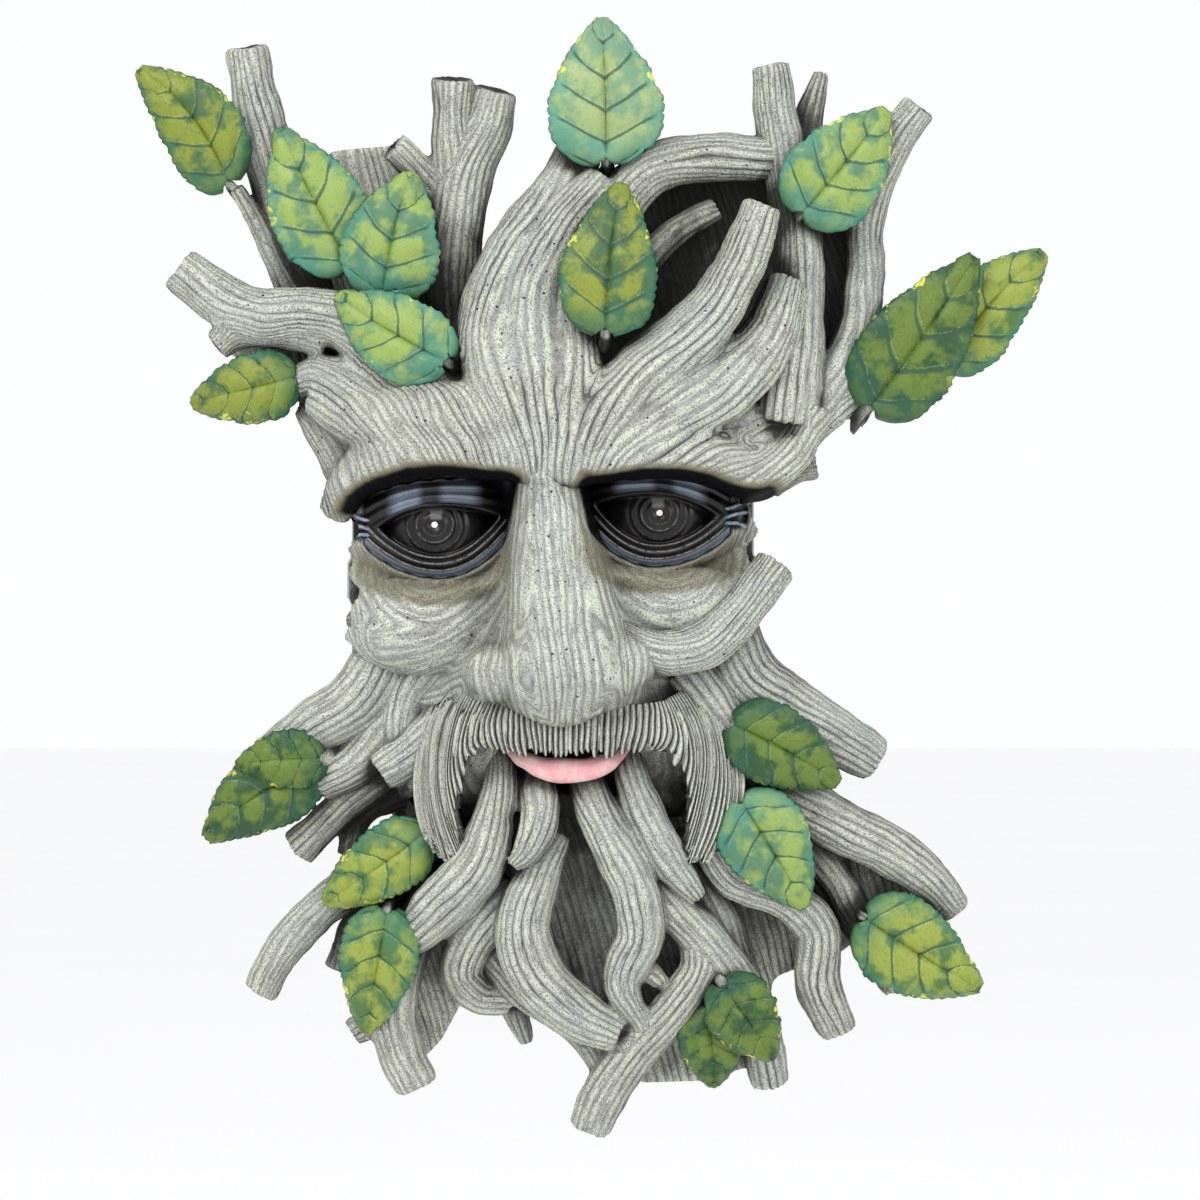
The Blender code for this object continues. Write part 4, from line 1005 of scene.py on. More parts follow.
def leaf_frame(base, tip, roll):
    """Base point, length, and the leaf's own directions: along it, across it and out of its face."""
    start, end = placed(*base), placed(*tip)
    along = (end - start) / np.linalg.norm(end - start)
    outlook = np.array(OUTLOOK)
    face_out = outlook - along * (along @ outlook)
    face_out /= np.linalg.norm(face_out)
    turn = Matrix.Rotation(math.radians(roll), 3, Vector(along))
    face_out = np.array(turn @ Vector(face_out))
    return start, np.linalg.norm(end - start), along, np.cross(face_out, along), face_out


def carve_leaf(name, base, tip, width, bow, roll, number):
    """A leaf with a toothed edge and sunken veins, arched along its length, with its stem."""
    start, length, ahead, across, face_out = leaf_frame(base, tip, roll)
    square, step_out = squares_to_metres()[0], -squares_to_metres()[1]
    deselect_all()
    bpy.ops.mesh.primitive_grid_add(x_subdivisions=LEAF_COLUMNS, y_subdivisions=LEAF_ROWS, size=1)
    thing = bpy.context.active_object
    thing.name = thing.data.name = name
    points = places_of(thing)
    share = 0.006 + 0.992 * (points[:, 1] + 0.5)
    side = 2 * points[:, 0]
    far = np.abs(side)
    teeth = round(LEAF_TEETH * length / (0.034))
    phase = (share * teeth + number * 0.37) % 1
    tooth = np.where(phase < 0.75, phase / 0.75, (1 - phase) / 0.25) - 0.5
    half = leaf_half_width(share) * width * square
    bite = tooth * 0.0007 * ramp(far, 0.55, 1.0)
    half = half + bite * ramp(share, 0.02, 0.12) * (1 - ramp(share, 0.9, 1.0))
    arch = 4 * share * (1 - share)
    rise = 0.9 * arch - 0.9 * side**2 + 0.45 * np.minimum(1, 4 * far)
    vein = (share - 0.26 * far**0.85) * LEAF_VEINS + number * 0.13
    from_vein = np.abs((vein % 1) - 0.5)
    puff = np.sqrt(np.clip(0.5 - from_vein, 0, 1)) * ramp(far, 0.04, 0.18) * (1 - 0.4 * ramp(far, 0.7, 1))
    midrib = np.exp(-((side * half / 0.00045) ** 2))
    place3 = np.stack((share * 9, side * 4, 0 * side + number), axis=1)
    wave = 0.25 * noise(place3, 23) * far
    height = rise * step_out + 0.0011 * puff - 0.0005 * midrib + wave * step_out
    middle = start + ahead * (length * share)[:, None] + across * (bow * arch * square)[:, None]
    put_places(thing, middle + across * (half * side)[:, None] + face_out * height[:, None])
    put_vector(thing, "leaf", share, side, vein)
    pick(thing)
    apply_modifier(thing, "SOLIDIFY", thickness=sizes().leaf_thickness, offset=-1, use_even_offset=False)
    close_mesh(thing, 0.00001)
    back = (np.array((base[0] - tip[0], base[1] - tip[1])))
    back = back / np.linalg.norm(back) * 1.7
    stem_radius = sizes().stem_radius / square
    rows = ((base[0] + back[0], base[1] + back[1], base[2] - 4.0, stem_radius),
            (base[0], base[1], base[2] - 0.5, stem_radius * 0.75),
            (base[0] - back[0], base[1] - back[1], base[2] - 0.3, stem_radius * 0.4))
    return thing, rows


def moustache_line(table, share):
    """Places along one of the moustache's lines, from its middle (0) to the outside of one half (1)."""
    route = smooth_route(table, 12)
    spots = np.linspace(0, 1, len(route))
    return np.stack([np.interp(share, spots, route[:, axis]) for axis in range(3)], axis=-1)


def mirrored(places, side):
    """Places of the left half, or their mirror images in the right half, which reaches a little further."""
    reach = np.where(side < 0, 1.0, -RIGHT_REACH)
    across = NOSE_LINE + reach * (places[..., 0] - NOSE_LINE)
    return np.stack((across, places[..., 1], places[..., 2]), axis=-1)


def moustache_pad():
    """Rows of the locks under the strands, as across, up, out, radius."""
    rows = []
    for side in (-1, 1):
        for share in np.linspace(0.02, 0.94, 8):
            spots = [mirrored(moustache_line(table, share), side)
                     for table in (MOUSTACHE_ROOT, MOUSTACHE_MIDDLE, MOUSTACHE_EDGE)]
            spots[2] = 0.2 * spots[1] + 0.8 * spots[2]
            rows.append([(*(spot - (0, 0, sunk)), radius)
                         for spot, sunk, radius in zip(spots, (2.2, 4.2, 3.6), (1.1, 1.2, 0.7))])
    return rows


def carve_strands():
    """The moustache as one sheet: each strand a ridge from the nose to its own ragged end."""
    chance = np.random.default_rng(5)
    strands = 2 * STRANDS_A_SIDE
    ends, lifts = chance.normal(0, 1, strands), chance.normal(0, 1, strands)
    deselect_all()
    columns = strands * STRAND_COLUMNS
    bpy.ops.mesh.primitive_grid_add(x_subdivisions=columns, y_subdivisions=STRAND_ROWS, size=1)
    thing = bpy.context.active_object
    thing.name = thing.data.name = "moustache_strands"
    points = places_of(thing)
    run = points[:, 0] * 2
    side, share = np.sign(run), np.abs(run)
    phase = share * STRANDS_A_SIDE
    strand = np.clip(np.floor((run + 1) * STRANDS_A_SIDE), 0, strands - 1).astype(int)
    crest = np.abs(np.sin(np.pi * phase))
    root, middle, edge = (mirrored(moustache_line(table, share), side)
                          for table in (MOUSTACHE_ROOT, MOUSTACHE_MIDDLE, MOUSTACHE_EDGE))
    length = np.linalg.norm(edge - root, axis=1)
    reach = 1 + (0.4 * ends[strand] + 0.5 * (crest - 0.6)) / length
    down = (0.5 - points[:, 1]) * reach
    a, b, c = (1 - down) * (1 - 2 * down), 4 * down * (1 - down), down * (2 * down - 1)
    spots = root * a[:, None] + middle * b[:, None] + edge * c[:, None]
    fullness = ramp(down, 0.0, 0.25) * (1 - 0.45 * ramp(down, 0.8, 1.05))
    wave = grain_noise(phase * 0.0027, down * 0.03, 0 * phase, 0.009, 0.012, 41)
    spots[:, 2] += (0.66 * crest**0.7 + 0.22 * lifts[strand] + 0.3 * wave) * fullness - 0.3
    spots[:, 0] += 0.22 * wave
    put_places(thing, placed(spots[:, 0], spots[:, 1], spots[:, 2]))
    put_vector(thing, "strand", phase, down, lifts[strand])
    apply_modifier(thing, "SOLIDIFY", thickness=sizes().moustache_thickness, offset=-1, use_even_offset=False)
    close_mesh(thing, 0.000005)
    values = np.empty(len(thing.data.vertices) * 3, np.float32)
    thing.data.attributes["strand"].data.foreach_get("vector", values)
    phase, down, _ = values.reshape(-1, 3).T
    crest = np.abs(np.sin(np.pi * phase))
    paint_marks(thing, phase * 0.0012, down * 0.02, 0 * phase, crest, phase, 1 + 0 * phase)
    return thing


def carve_web(name, corners):
    """A recessed plate between limbs, its face worked in fibres."""
    curve = bpy.data.curves.new(name, "CURVE")
    curve.dimensions = "2D"
    curve.fill_mode = "BOTH"
    curve.extrude = sizes().web_thickness / 2
    spline = curve.splines.new("POLY")
    spline.points.add(len(corners) - 1)
    square = squares_to_metres()[0]
    for point, (across, up) in zip(spline.points, corners):
        point.co = (across * square, up * square, 0, 1)
    spline.use_cyclic_u = True
    thing = bpy.data.objects.new(name, curve)
    bpy.context.scene.collection.objects.link(thing)
    pick(thing)
    bpy.ops.object.convert(target="MESH")
    points = places_of(thing)
    upright = np.stack((points[:, 0], -points[:, 2] - sizes().web_thickness / 2, points[:, 1]), axis=1)
    put_places(thing, upright)
    close_mesh(thing)
    apply_modifier(thing, "REMESH", mode="VOXEL", voxel_size=WEB_SKIN)
    apply_modifier(thing, "SMOOTH", factor=0.5, iterations=2)
    points = places_of(thing)
    outward = outward_of(thing)
    x, z, _ = on_layout(points)
    around = points[:, 0] + 0.3 * points[:, 2]
    along = points[:, 2]
    phase = grain_phase(around, along, 0 * x)
    strength = grain_strength(around, along, 0 * x)
    grain = 0.5 * grain_height(around, along, 0 * x, phase, strength) + noise(points / 0.008, 31)
    grain = grain + 0.6 * noise(points / 0.0035, 37)
    front = ramp(-outward[:, 1], 0.2, 0.8)
    points = points + outward * (grain * front * 0.0008)[:, None]
    points[:, 1] = np.minimum(points[:, 1], -0.0003)
    put_places(thing, points)
    paint_marks(thing, around, along, 0 * x, grain, phase, strength)
    return thing


def shell_limits(x, z):
    """How far out the back shell may reach: little under face and webs, more by the left lobe and temple."""
    half_width = np.where(np.abs(z - 3) < 6.5, 20.6, 17.5)
    covered = (np.abs(x - FACE_MIDDLE) < half_width) & (z > -15) & (z < 16)
    for corners in WEBS.values():
        covered |= inside_outline(x, z, corners)
    deepest = np.full(x.shape, -1.0)
    for left, right, bottom, top in SHELL_SHOULDERS:
        deepest[(x > left) & (x < right) & (z > bottom) & (z < top)] = -SHELL_SHOULDER
    return np.where(covered, -SHELL_DEPTH, deepest)


def carve_back_shell():
    """The flat back with its keyhole: a copy of the cast solid, drawn in a little under the carved front."""
    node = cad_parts[CAD_NODE]
    pick(node)
    bpy.ops.object.duplicate()
    thing = bpy.context.active_object
    thing.name = thing.data.name = "back_shell"
    for key in list(thing.keys()):
        del thing[key]
    thing.parent = None
    thing.hide_render = False
    close_mesh(thing, 0.000005)
    points = places_of(thing)
    outward = outward_of(thing)
    in_keyhole = (np.abs(points[:, 0]) < KEYHOLE_ROOM[0]) & (points[:, 1] > -KEYHOLE_ROOM[1])
    in_keyhole &= np.abs(points[:, 2] - KEYHOLE_UP) < KEYHOLE_ROOM[2]
    at_back = points[:, 1] > -SHELL_BACK
    drawn = np.where(in_keyhole | at_back, 0, sizes().shell_inset)
    points = points - outward * drawn[:, None]
    x, z, _ = on_layout(points)
    deepest = shell_limits(x, z)
    points[:, 1] = np.clip(points[:, 1], deepest, 0)
    put_places(thing, points)
    none = 0 * points[:, 0]
    paint_marks(thing, points[:, 0], points[:, 2], none, none, none + 0.3, none)
    return thing


class Value:
    """A number, colour or vector of a finish, used as in a formula."""

    def __init__(self, finish, socket):
        self.finish = finish
        self.socket = socket

    def maths(self, operation, first, second):
        return self.finish.node("ShaderNodeMath", {"operation": operation}, {0: first, 1: second})

    def __add__(self, other):
        return self.maths("ADD", self, other)

    def __radd__(self, other):
        return self.maths("ADD", other, self)

    def __sub__(self, other):
        return self.maths("SUBTRACT", self, other)

    def __rsub__(self, other):
        return self.maths("SUBTRACT", other, self)

    def __mul__(self, other):
        return self.maths("MULTIPLY", self, other)

    def __rmul__(self, other):
        return self.maths("MULTIPLY", other, self)

    def __abs__(self):
        return self.maths("ABSOLUTE", self, 0)

    def fraction(self):
        return self.maths("FRACT", self, 0)

    def step(self, low, high):
        """0 below low, 1 above high, and an even curve between."""
        return self.finish.node("ShaderNodeMapRange", {"interpolation_type": "SMOOTHSTEP"},
                                {"Value": self, "From Min": low, "From Max": high})


class Finish:
    """A painted finish, built up as a material's nodes."""

    def __init__(self, name, roughness, gloss=0.14):
        self.material = bpy.data.materials.new(name)
        self.material.use_nodes = True
        self.tree = self.material.node_tree
        self.shader = self.tree.nodes["Principled BSDF"]
        self.shader.inputs["Roughness"].default_value = roughness
        self.shader.inputs["Metallic"].default_value = 0.0
        self.shader.inputs["Specular IOR Level"].default_value = gloss

    def node(self, kind, settings=None, inputs=None, output=0):
        """Adds a node, sets its settings, then its sockets, and gives the named output."""
        node = self.tree.nodes.new(kind)
        for key, setting in (settings or {}).items():
            setattr(node, key, setting)
        for key, given in (inputs or {}).items():
            self.feed(node.inputs[key], given)
        return Value(self, node.outputs[output])

    def feed(self, socket, given):
        if isinstance(given, Value):
            self.tree.links.new(given.socket, socket)
        elif socket.type == "RGBA":
            socket.default_value = (*tuple(given)[:3], 1)
        else:
            socket.default_value = given

    def mark(self, name, output="Fac"):
        """A number or vector kept on the mesh."""
        return self.node("ShaderNodeAttribute", {"attribute_name": name}, output=output)

    def place(self):
        return self.node("ShaderNodeTexCoord", output="Object")

    def scaled(self, vector, scale):
        return self.node("ShaderNodeVectorMath", {"operation": "MULTIPLY"}, {0: vector, 1: scale})

    def parts(self, vector):
        split = self.node("ShaderNodeSeparateXYZ", inputs={0: vector}).socket.node
        return [Value(self, socket) for socket in split.outputs]

    def noise(self, vector, scale, detail=2.0, roughness=0.5):
        return self.node("ShaderNodeTexNoise", {"noise_dimensions": "3D"},
                         {"Vector": vector, "Scale": scale, "Detail": detail, "Roughness": roughness})

    def mix(self, share, first, second):
        return self.node("ShaderNodeMix", {"data_type": "RGBA"}, {0: share, 6: first, 7: second}, output=2)

    def bump(self, height, distance, strength=1.0):
        inputs = {"Height": height, "Distance": distance, "Strength": strength}
        return self.node("ShaderNodeBump", inputs=inputs)

    def give(self, name, value):
        self.feed(self.shader.inputs[name], value)


# dark adds to the painted shade and dark washes of the hollows.
def bark_finish(name, dark=0.0, face=False, brow=False, strands=False):
    """Grey resin: dark paint washed into the grooves, near-black washes and painted shade in the hollows and
    where a place lies hidden, olive painted shade on sides turned from the front, and pale dry brush on the
    ridges; on the face, black gloss with painted blue-grey glints on the folds.
    """
    paint = colours()
    finish = Finish(name, 0.72, 0.04 if brow else 0.14)
    grain = finish.mark("grain", "Vector")
    place = finish.place()
    phase, strength, ridge = finish.parts(finish.mark("carving", "Vector"))
    shelter, seam, cap = finish.parts(finish.mark("hidden", "Vector"))
    facing = finish.mark("facing")
    fibre = finish.noise(finish.scaled(grain, (1400, 110, 300)), 1.0, 3.0, 0.7)
    patch = finish.noise(place, 32, 2.0)
    cloud = finish.noise(place, 130, 3.0, 0.65)
    speck = finish.noise(place, 2200, 2.0, 0.6)
    groove = abs((phase + fibre * 0.5).fraction() - 0.5) * 2
    colour = finish.mix(patch.step(0.42, 0.58), paint.bark_cool, paint.bark_warm)
    # Sides turned away from the front are painted towards olive: painted shade.
    side = 1 - facing.step(0.15, 0.8)
    colour = finish.mix(side * 0.45, colour, paint.olive)
    worn = (cloud * 0.7 + speck * 0.9 + fibre * 0.7 - 0.6).step(0.15, 0.75)
    pale = (1 - groove).step(0.2, 0.8) * 0.7 + 0.3
    colour = finish.mix(pale * worn, colour, paint.dry_brush)
    if face:
        gloss, olive = finish.mark("gloss"), finish.mark("olive")
        pouch = finish.mix(speck.step(0.35, 0.65), paint.olive, paint.pouch)
        colour = finish.mix((olive + (cloud - 0.5) * 0.5).step(0.1, 0.9) * (1 - worn * 0.3), colour, pouch)
    fine = (1 - fibre.step(0.34, 0.5)) * (1 - cap * 0.6)
    colour = finish.mix(fine * 0.5, colour, paint.shade)
    line = groove.step(0.68, 0.98) * strength
    colour = finish.mix(line * 0.52, colour, paint.shade)
    colour = finish.mix((line + (1 - cloud) * 0.7 - 0.75).step(0.1, 0.6) * 0.6, colour, paint.wash_and_shade)
    dots = 1 - speck.step(0.36, 0.5)
    colour = finish.mix(dots * 0.62, colour, paint.shade)
    # Painted shade over the dark washes: hidden places, seams between limbs and any extra dark go near black.
    hollow_wash_and_shade = (shelter + seam * 0.1 + dark - ridge * 0.08).step(0.3, 0.82)
    colour = finish.mix(hollow_wash_and_shade * 0.95, colour, paint.wash_and_shade)
    rough = 0.62 + fibre * 0.22
    if strands:
        colour = finish.mix(groove.step(0.5, 0.9) * 0.9, colour, paint.wash_and_shade)
        colour = finish.mix((1 - groove).step(0.5, 0.92) * speck.step(0.25, 0.55), colour, paint.strand_pale)
    if brow or face:
        cell = finish.node("ShaderNodeTexVoronoi", {"feature": "F1"}, {"Vector": place, "Scale": 240.0})
        pit = 1 - cell.step(0.06, 0.11)
        colour = finish.mix(pit * 0.95, colour, paint.wash_and_shade)
    if brow:
        under = finish.mark("under") + (cloud - 0.5) * 0.25
        olive = finish.mix(speck, paint.olive, paint.pouch)
        colour = finish.mix(under.step(0.02, 0.35) * 0.85, colour, olive)
        black = under.step(0.3, 0.7)
        colour = finish.mix(black, colour, paint.eye_black)
        rough = rough * (1 - black * 0.3)
    if face:
        black = (gloss + (cloud - 0.5) * 0.4).step(0.25, 0.8)
        # Painted glints: blue-grey on the crests of the black folds.
        black_with_painted_glints = finish.mix(ridge.step(0.5, 1.3) * speck.step(0.3, 0.5), paint.eye_black, paint.painted_blue_sheen)
        colour = finish.mix(black, colour, black_with_painted_glints)
        rough = rough * (1 - black * 0.55)
    finish.give("Base Color", colour)
    finish.give("Roughness", rough)
    height = fibre * 0.55 + (1 - groove) * strength * 0.3 + speck * 0.15
    finish.give("Normal", finish.bump(height, 0.0006))
    return finish.material


def eye_finish():
    """Black gloss paint with a painted blue-grey sheen on the upper lid and along the lower lid, pale worn
    lines along the lower lid and round the ball, a painted window reflection on the ball, and a pale dot in
    each eye.
    """
    paint = colours()
    finish = Finish("eye_gloss", 0.2, 0.22)
    past, over, ring = finish.parts(finish.mark("lid", "Vector"))
    along, up, _ = finish.parts(finish.mark("eye", "Vector"))
    place = finish.place()
    speck = finish.noise(place, 900, 3.0, 0.7)
    cloud = finish.noise(place, 160, 2.0)
    colour = finish.mix(cloud.step(0.4, 0.65) * 0.4, paint.eye_black, paint.eye_brown)
    lid = past.step(0.0, 0.3)
    under = 1 - over
    # Painted sheen: blue-grey reflections along the upper lid, weaker in its middle and fading at its ends.
    shine = lid * over * past.step(0.3, 0.6) * (1 - past.step(1.9, 2.6))
    shine = shine * (abs(along + 0.4).step(0.5, 1.6) * 0.8 + 0.15)
    shine = shine * (1 - abs(along).step(3.4, 5.0))
    lines = (past * 2.2 + cloud * 0.6).fraction()
    shine = shine * (1 - abs(lines - 0.5).step(0.38, 0.5) * 0.8)
    colour = finish.mix(shine * (speck * 0.4 + 0.6), colour, paint.painted_blue_sheen)
    # A painted blue-grey sheen on a strip along the lower lid.
    lower = under * past.step(1.45, 1.8) * (speck * 0.6 + 0.4)
    colour = finish.mix(lower * 0.8, colour, paint.painted_blue_sheen)
    for middle, thin in ((0.1, 0.10), (0.75, 0.10), (1.4, 0.11)):
        crease = 1 - abs(past - middle + (cloud - 0.5) * 0.2).step(0.02, thin)
        colour = finish.mix(crease * under * speck.step(0.3, 0.55) * 0.6, colour, paint.pale_wear_and_reflection)
    rings = (1 - abs(ring - 1.8).step(0.02, 0.11)) * 0.3 + (1 - abs(ring - 2.7).step(0.02, 0.11)) * 0.16
    rings = rings + (1 - abs(ring - 1.15).step(0.02, 0.1)) * 0.12
    shown = rings * speck.step(0.35, 0.6) * (1 - lid) * (1 - up.step(-0.6, 1.2))
    colour = finish.mix(shown, colour, paint.pale_wear_and_reflection)
    # A painted reflection of a window: a pale patch on the upper part of the ball.
    window = (1 - abs(along - 0.15).step(0.4, 0.75)) * (1 - abs(up - 0.95).step(0.25, 0.6)) * (1 - lid)
    colour = finish.mix(window * 0.35, colour, paint.pale_wear_and_reflection)
    dot = 1 - ring.step(0.27, 0.34)
    colour = finish.mix(dot, colour, paint.eye_dot)
    finish.give("Base Color", colour)
    finish.give("Roughness", 0.26 + speck * 0.2)
    finish.shader.inputs["Coat Weight"].default_value = 0.2
    finish.shader.inputs["Coat Roughness"].default_value = 0.1
    finish.give("Normal", finish.bump(speck, 0.0001, 0.5))
    return finish.material


def leaf_finish(name, green, tip, edge):
    """Green leaf paint: veins in dark teal, patches of yellow green, teal along the edge, pale painted
    highlights beside the veins, and dark teal painted shade where a leaf turns from the front or lies hidden.
    """
    paint = colours()
    finish = Finish(name, 0.5, 0.4)
    share, side, vein = finish.parts(finish.mark("leaf", "Vector"))
    far = abs(side)
    place = finish.place()
    patch = finish.noise(place, 110, 3.0, 0.6)
    speck = finish.noise(place, 1300, 2.0, 0.6)
    cloud = finish.noise(place, 420, 2.0, 0.6)
    step = vein.fraction()
    from_vein = abs(step - 0.5)
    reach = far.step(0.02, 0.1) * (1 - far.step(0.72, 0.95))
    on_vein = from_vein.step(0.37, 0.46) * reach
    midrib = 1 - far.step(0.02, 0.075)
    puff = 1 - from_vein.step(0.15, 0.5)
    colour = finish.mix((patch * 1.3 + puff * 0.1).step(0.58, 0.78), green, tip)
    rim = (far + (cloud - 0.5) * 0.9 + (0.5 - puff) * 0.15).step(0.55, 1.0)
    colour = finish.mix(rim * 0.85, colour, edge)
    colour = finish.mix((1 - (share + (patch - 0.5) * 0.5).step(0.02, 0.3)) * 0.7, colour, edge)
    colour = finish.mix((1 - speck.step(0.3, 0.5)) * 0.35, colour, edge)
    fleck = (far * 0.8 + patch + (cloud - 0.5) * 0.8).step(1.32, 1.42) * share.step(0.25, 0.6)
    colour = finish.mix(fleck * 0.85, colour, paint.leaf_fleck)
    colour = finish.mix((on_vein * 0.8 + midrib * 0.8).step(0, 1) * 0.9, colour, paint.vein_teal_and_leaf_shade)
    # Painted highlights: thin pale lines on one side of each vein and beside the midrib.
    beside = (1 - abs(step - 0.14).step(0.0, 0.05)) * reach
    beside = beside + (1 - abs(far - 0.11).step(0.0, 0.035)) * 0.6
    colour = finish.mix(beside * speck.step(0.38, 0.6) * 0.2, colour, paint.painted_vein_highlight)
    facing = finish.mark("facing")
    shelter, _, _ = finish.parts(finish.mark("hidden", "Vector"))
    # Painted shade: dark teal where a leaf turns from the front and where it lies hidden.
    colour = finish.mix((1 - facing.step(0.1, 0.5)) * 0.7, colour, paint.vein_teal_and_leaf_shade)
    colour = finish.mix(shelter.step(0.3, 0.8) * 0.5, colour, paint.vein_teal_and_leaf_shade)
    finish.give("Base Color", colour)
    finish.give("Roughness", 0.36 + cloud * 0.25)
    finish.give("Normal", finish.bump(cloud * 0.7 + speck * 0.3, 0.0003, 0.6))
    return finish.material


def lip_finish():
    """Pale pink lip mottled with deeper pink, with fine upright creases, a painted highlight where it faces
    the front and painted shade where it lies hidden.
    """
    paint = colours()
    finish = Finish("lip_paint", 0.55)
    grain = finish.mark("grain", "Vector")
    shelter, _, _ = finish.parts(finish.mark("hidden", "Vector"))
    facing = finish.mark("facing")
    place = finish.place()
    cloud = finish.noise(place, 170, 3.0, 0.6)
    crease = finish.noise(finish.scaled(grain, (160, 1100, 300)), 1.0, 2.0)
    speck = finish.noise(place, 1500, 2.0)
    colour = finish.mix(cloud.step(0.38, 0.62), paint.lip_pale, paint.lip_deep)
    colour = finish.mix((1 - crease.step(0.35, 0.5)) * 0.35, colour, paint.lip_deep)
    # Painted highlight: paler where the lip faces the front.
    colour = finish.mix(facing.step(0.75, 1.0) * speck.step(0.35, 0.7) * 0.45, colour, paint.lip_pale)
    # Painted shade where the lip lies hidden.
    colour = finish.mix(shelter.step(0.45, 0.9) * 0.5, colour, paint.lip_shade)
    finish.give("Base Color", colour)
    finish.give("Roughness", 0.45 + cloud * 0.2)
    finish.give("Normal", finish.bump(crease * 0.7 + speck * 0.3, 0.0003, 0.6))
    return finish.material


def floor_finish():
    """Plain pale studio floor."""
    finish = Finish("studio_floor", 0.9)
    cloud = finish.noise(finish.place(), 3.0, 2.0)
    finish.give("Base Color", finish.mix(cloud, (0.94, 0.94, 0.94), (0.96, 0.96, 0.96)))
    return finish.material


def length_of(name, description, default):
    return bpy.props.FloatProperty(name=name, description=description, default=default, min=0.0001,
                                   unit="LENGTH", subtype="DISTANCE", precision=4)


def colour_of(name, description, default):
    return bpy.props.FloatVectorProperty(name=name, description=description, default=default, size=3,
                                         min=0, max=1, subtype="COLOR")


class TreeFaceSizes(bpy.types.PropertyGroup):
    """Sizes of the plaque and its carving."""

    height: length_of("Height", "Height that the layout of squares stands for", 0.304)
    relief: length_of("Relief", "Depth that the layout's greatest relief stands for", 0.073)
    web_thickness: length_of("Web thickness", "Thickness of the webs between limbs", 0.0160)
    groove_depth: length_of("Groove depth", "Depth of the carved bark grain", 0.00055)
    leaf_thickness: length_of("Leaf thickness", "Thickness of a leaf", 0.0020)
    stem_radius: length_of("Stem radius", "Radius of a leaf's stem", 0.0020)
    moustache_thickness: length_of("Moustache thickness", "Thickness of the moustache at its rim", 0.0022)
    shell_inset: length_of("Shell inset", "How far the back shell lies under the carved front", 0.0011)


class TreeFaceColours(bpy.types.PropertyGroup):
    """Paints of the plaque."""

    bark_cool: colour_of("Cool bark", "Blue-grey base of the bark", (0.275, 0.285, 0.30))
    bark_warm: colour_of("Warm bark", "Neutral grey base of the bark", (0.27, 0.268, 0.25))
    dry_brush: colour_of("Dry brush", "Pale brushed paint on the ridges", (0.56, 0.59, 0.49))
    strand_pale: colour_of("Pale strand", "Brushed crests of the moustache", (0.67, 0.69, 0.61))
    # Olive paint of the pouches, also painted as shade on sides turned from the front.
    olive: colour_of("Olive", "Olive shade on edges and pouches", (0.15, 0.15, 0.085))
    pouch: colour_of("Pouch", "Warm olive of the pouches under the eyes", (0.21, 0.185, 0.12))
    shade: colour_of("Shade", "Grey of the fine grain lines", (0.105, 0.10, 0.098))
    # Near-black colour of the washes in grooves, pits and hollows, also used as painted shade in hollows and
    # hidden places.
    wash_and_shade: colour_of("Wash", "Near black wash in the hollows", (0.018, 0.017, 0.016))
    eye_black: colour_of("Eye black", "Black gloss of the eyes", (0.004, 0.004, 0.005))
    eye_brown: colour_of("Eye brown", "Warm black of the eyeballs", (0.022, 0.019, 0.012))
    # Blue-grey painted sheen on the lids and painted glints on the black folds by the eyes.
    painted_blue_sheen: colour_of("Eye blue", "Blue-grey bloom on the lids", (0.25, 0.30, 0.38))
    # Pale worn lines on the lower lid and the ball's rings, also the painted window reflection on the ball.
    pale_wear_and_reflection: colour_of("Pale line", "Worn lines along the lids", (0.36, 0.35, 0.34))
    eye_dot: colour_of("Eye dot", "Pale dot painted in each eye", (0.95, 0.80, 0.76))
    # Dark teal of the veins, also painted as shade on leaves.
    vein_teal_and_leaf_shade: colour_of("Leaf vein", "Dark teal of the sunken veins", (0.02, 0.065, 0.035))
    # Pale green painted highlight beside the veins.
    painted_vein_highlight: colour_of("Leaf light", "Pale green beside the veins", (0.40, 0.56, 0.34))
    leaf_fleck: colour_of("Leaf fleck", "Yellow flecks on the leaves", (0.62, 0.62, 0.08))
    lip_pale: colour_of("Pale lip", "Pale pink of the lip", (0.72, 0.50, 0.47))
    lip_deep: colour_of("Deep lip", "Deeper pink of the lip", (0.70, 0.33, 0.36))
    lip_shade: colour_of("Lip shade", "Shade at the edge of the lip", (0.25, 0.07, 0.07))


class Carving(bpy.types.Operator):
    """Shared ways of the operators that carve one piece or a group of like pieces."""

    bl_options = {"REGISTER", "UNDO"}

    def execute(self, context):
        self.carve()
        return {"FINISHED"}


class TREEFACE_OT_back_shell(Carving):
    """Adds the flat back with the keyhole for the wall screw."""

    bl_idname = "treeface.back_shell"
    bl_label = "Back Shell"

    def carve(self):
        # The shell gets a little more painted shade and darker washes in its hollows.
        settle(carve_back_shell(), bark_finish("bark_resin_shell", dark=0.1))


class TREEFACE_OT_webs(Carving):
    """Adds the recessed webs between the limbs."""

    bl_idname = "treeface.webs"
    bl_label = "Webs"

    def carve(self):
        for name, corners in WEBS.items():
            # Each web's painted shade and dark washes in the hollows are raised or lowered by its own amount.
            settle(carve_web(f"web_{name}", corners),
                   bark_finish(f"bark_resin_web_{name}", dark=WEB_WASH_AND_SHADE[name]))


class TREEFACE_OT_face(Carving):
    """Carves the face with its nose, cheeks and eye sockets."""

    bl_idname = "treeface.face"
    bl_label = "Face"

    def carve(self):
        settle(carve_face(), bark_finish("bark_resin_face", face=True))


class TREEFACE_OT_eyes(Carving):
    """Carves both eyes with their lids."""

    bl_idname = "treeface.eyes"
    bl_label = "Eyes"

    def carve(self):
        finish = eye_finish()
        for side in EYES:
            settle(carve_eye(side), finish)


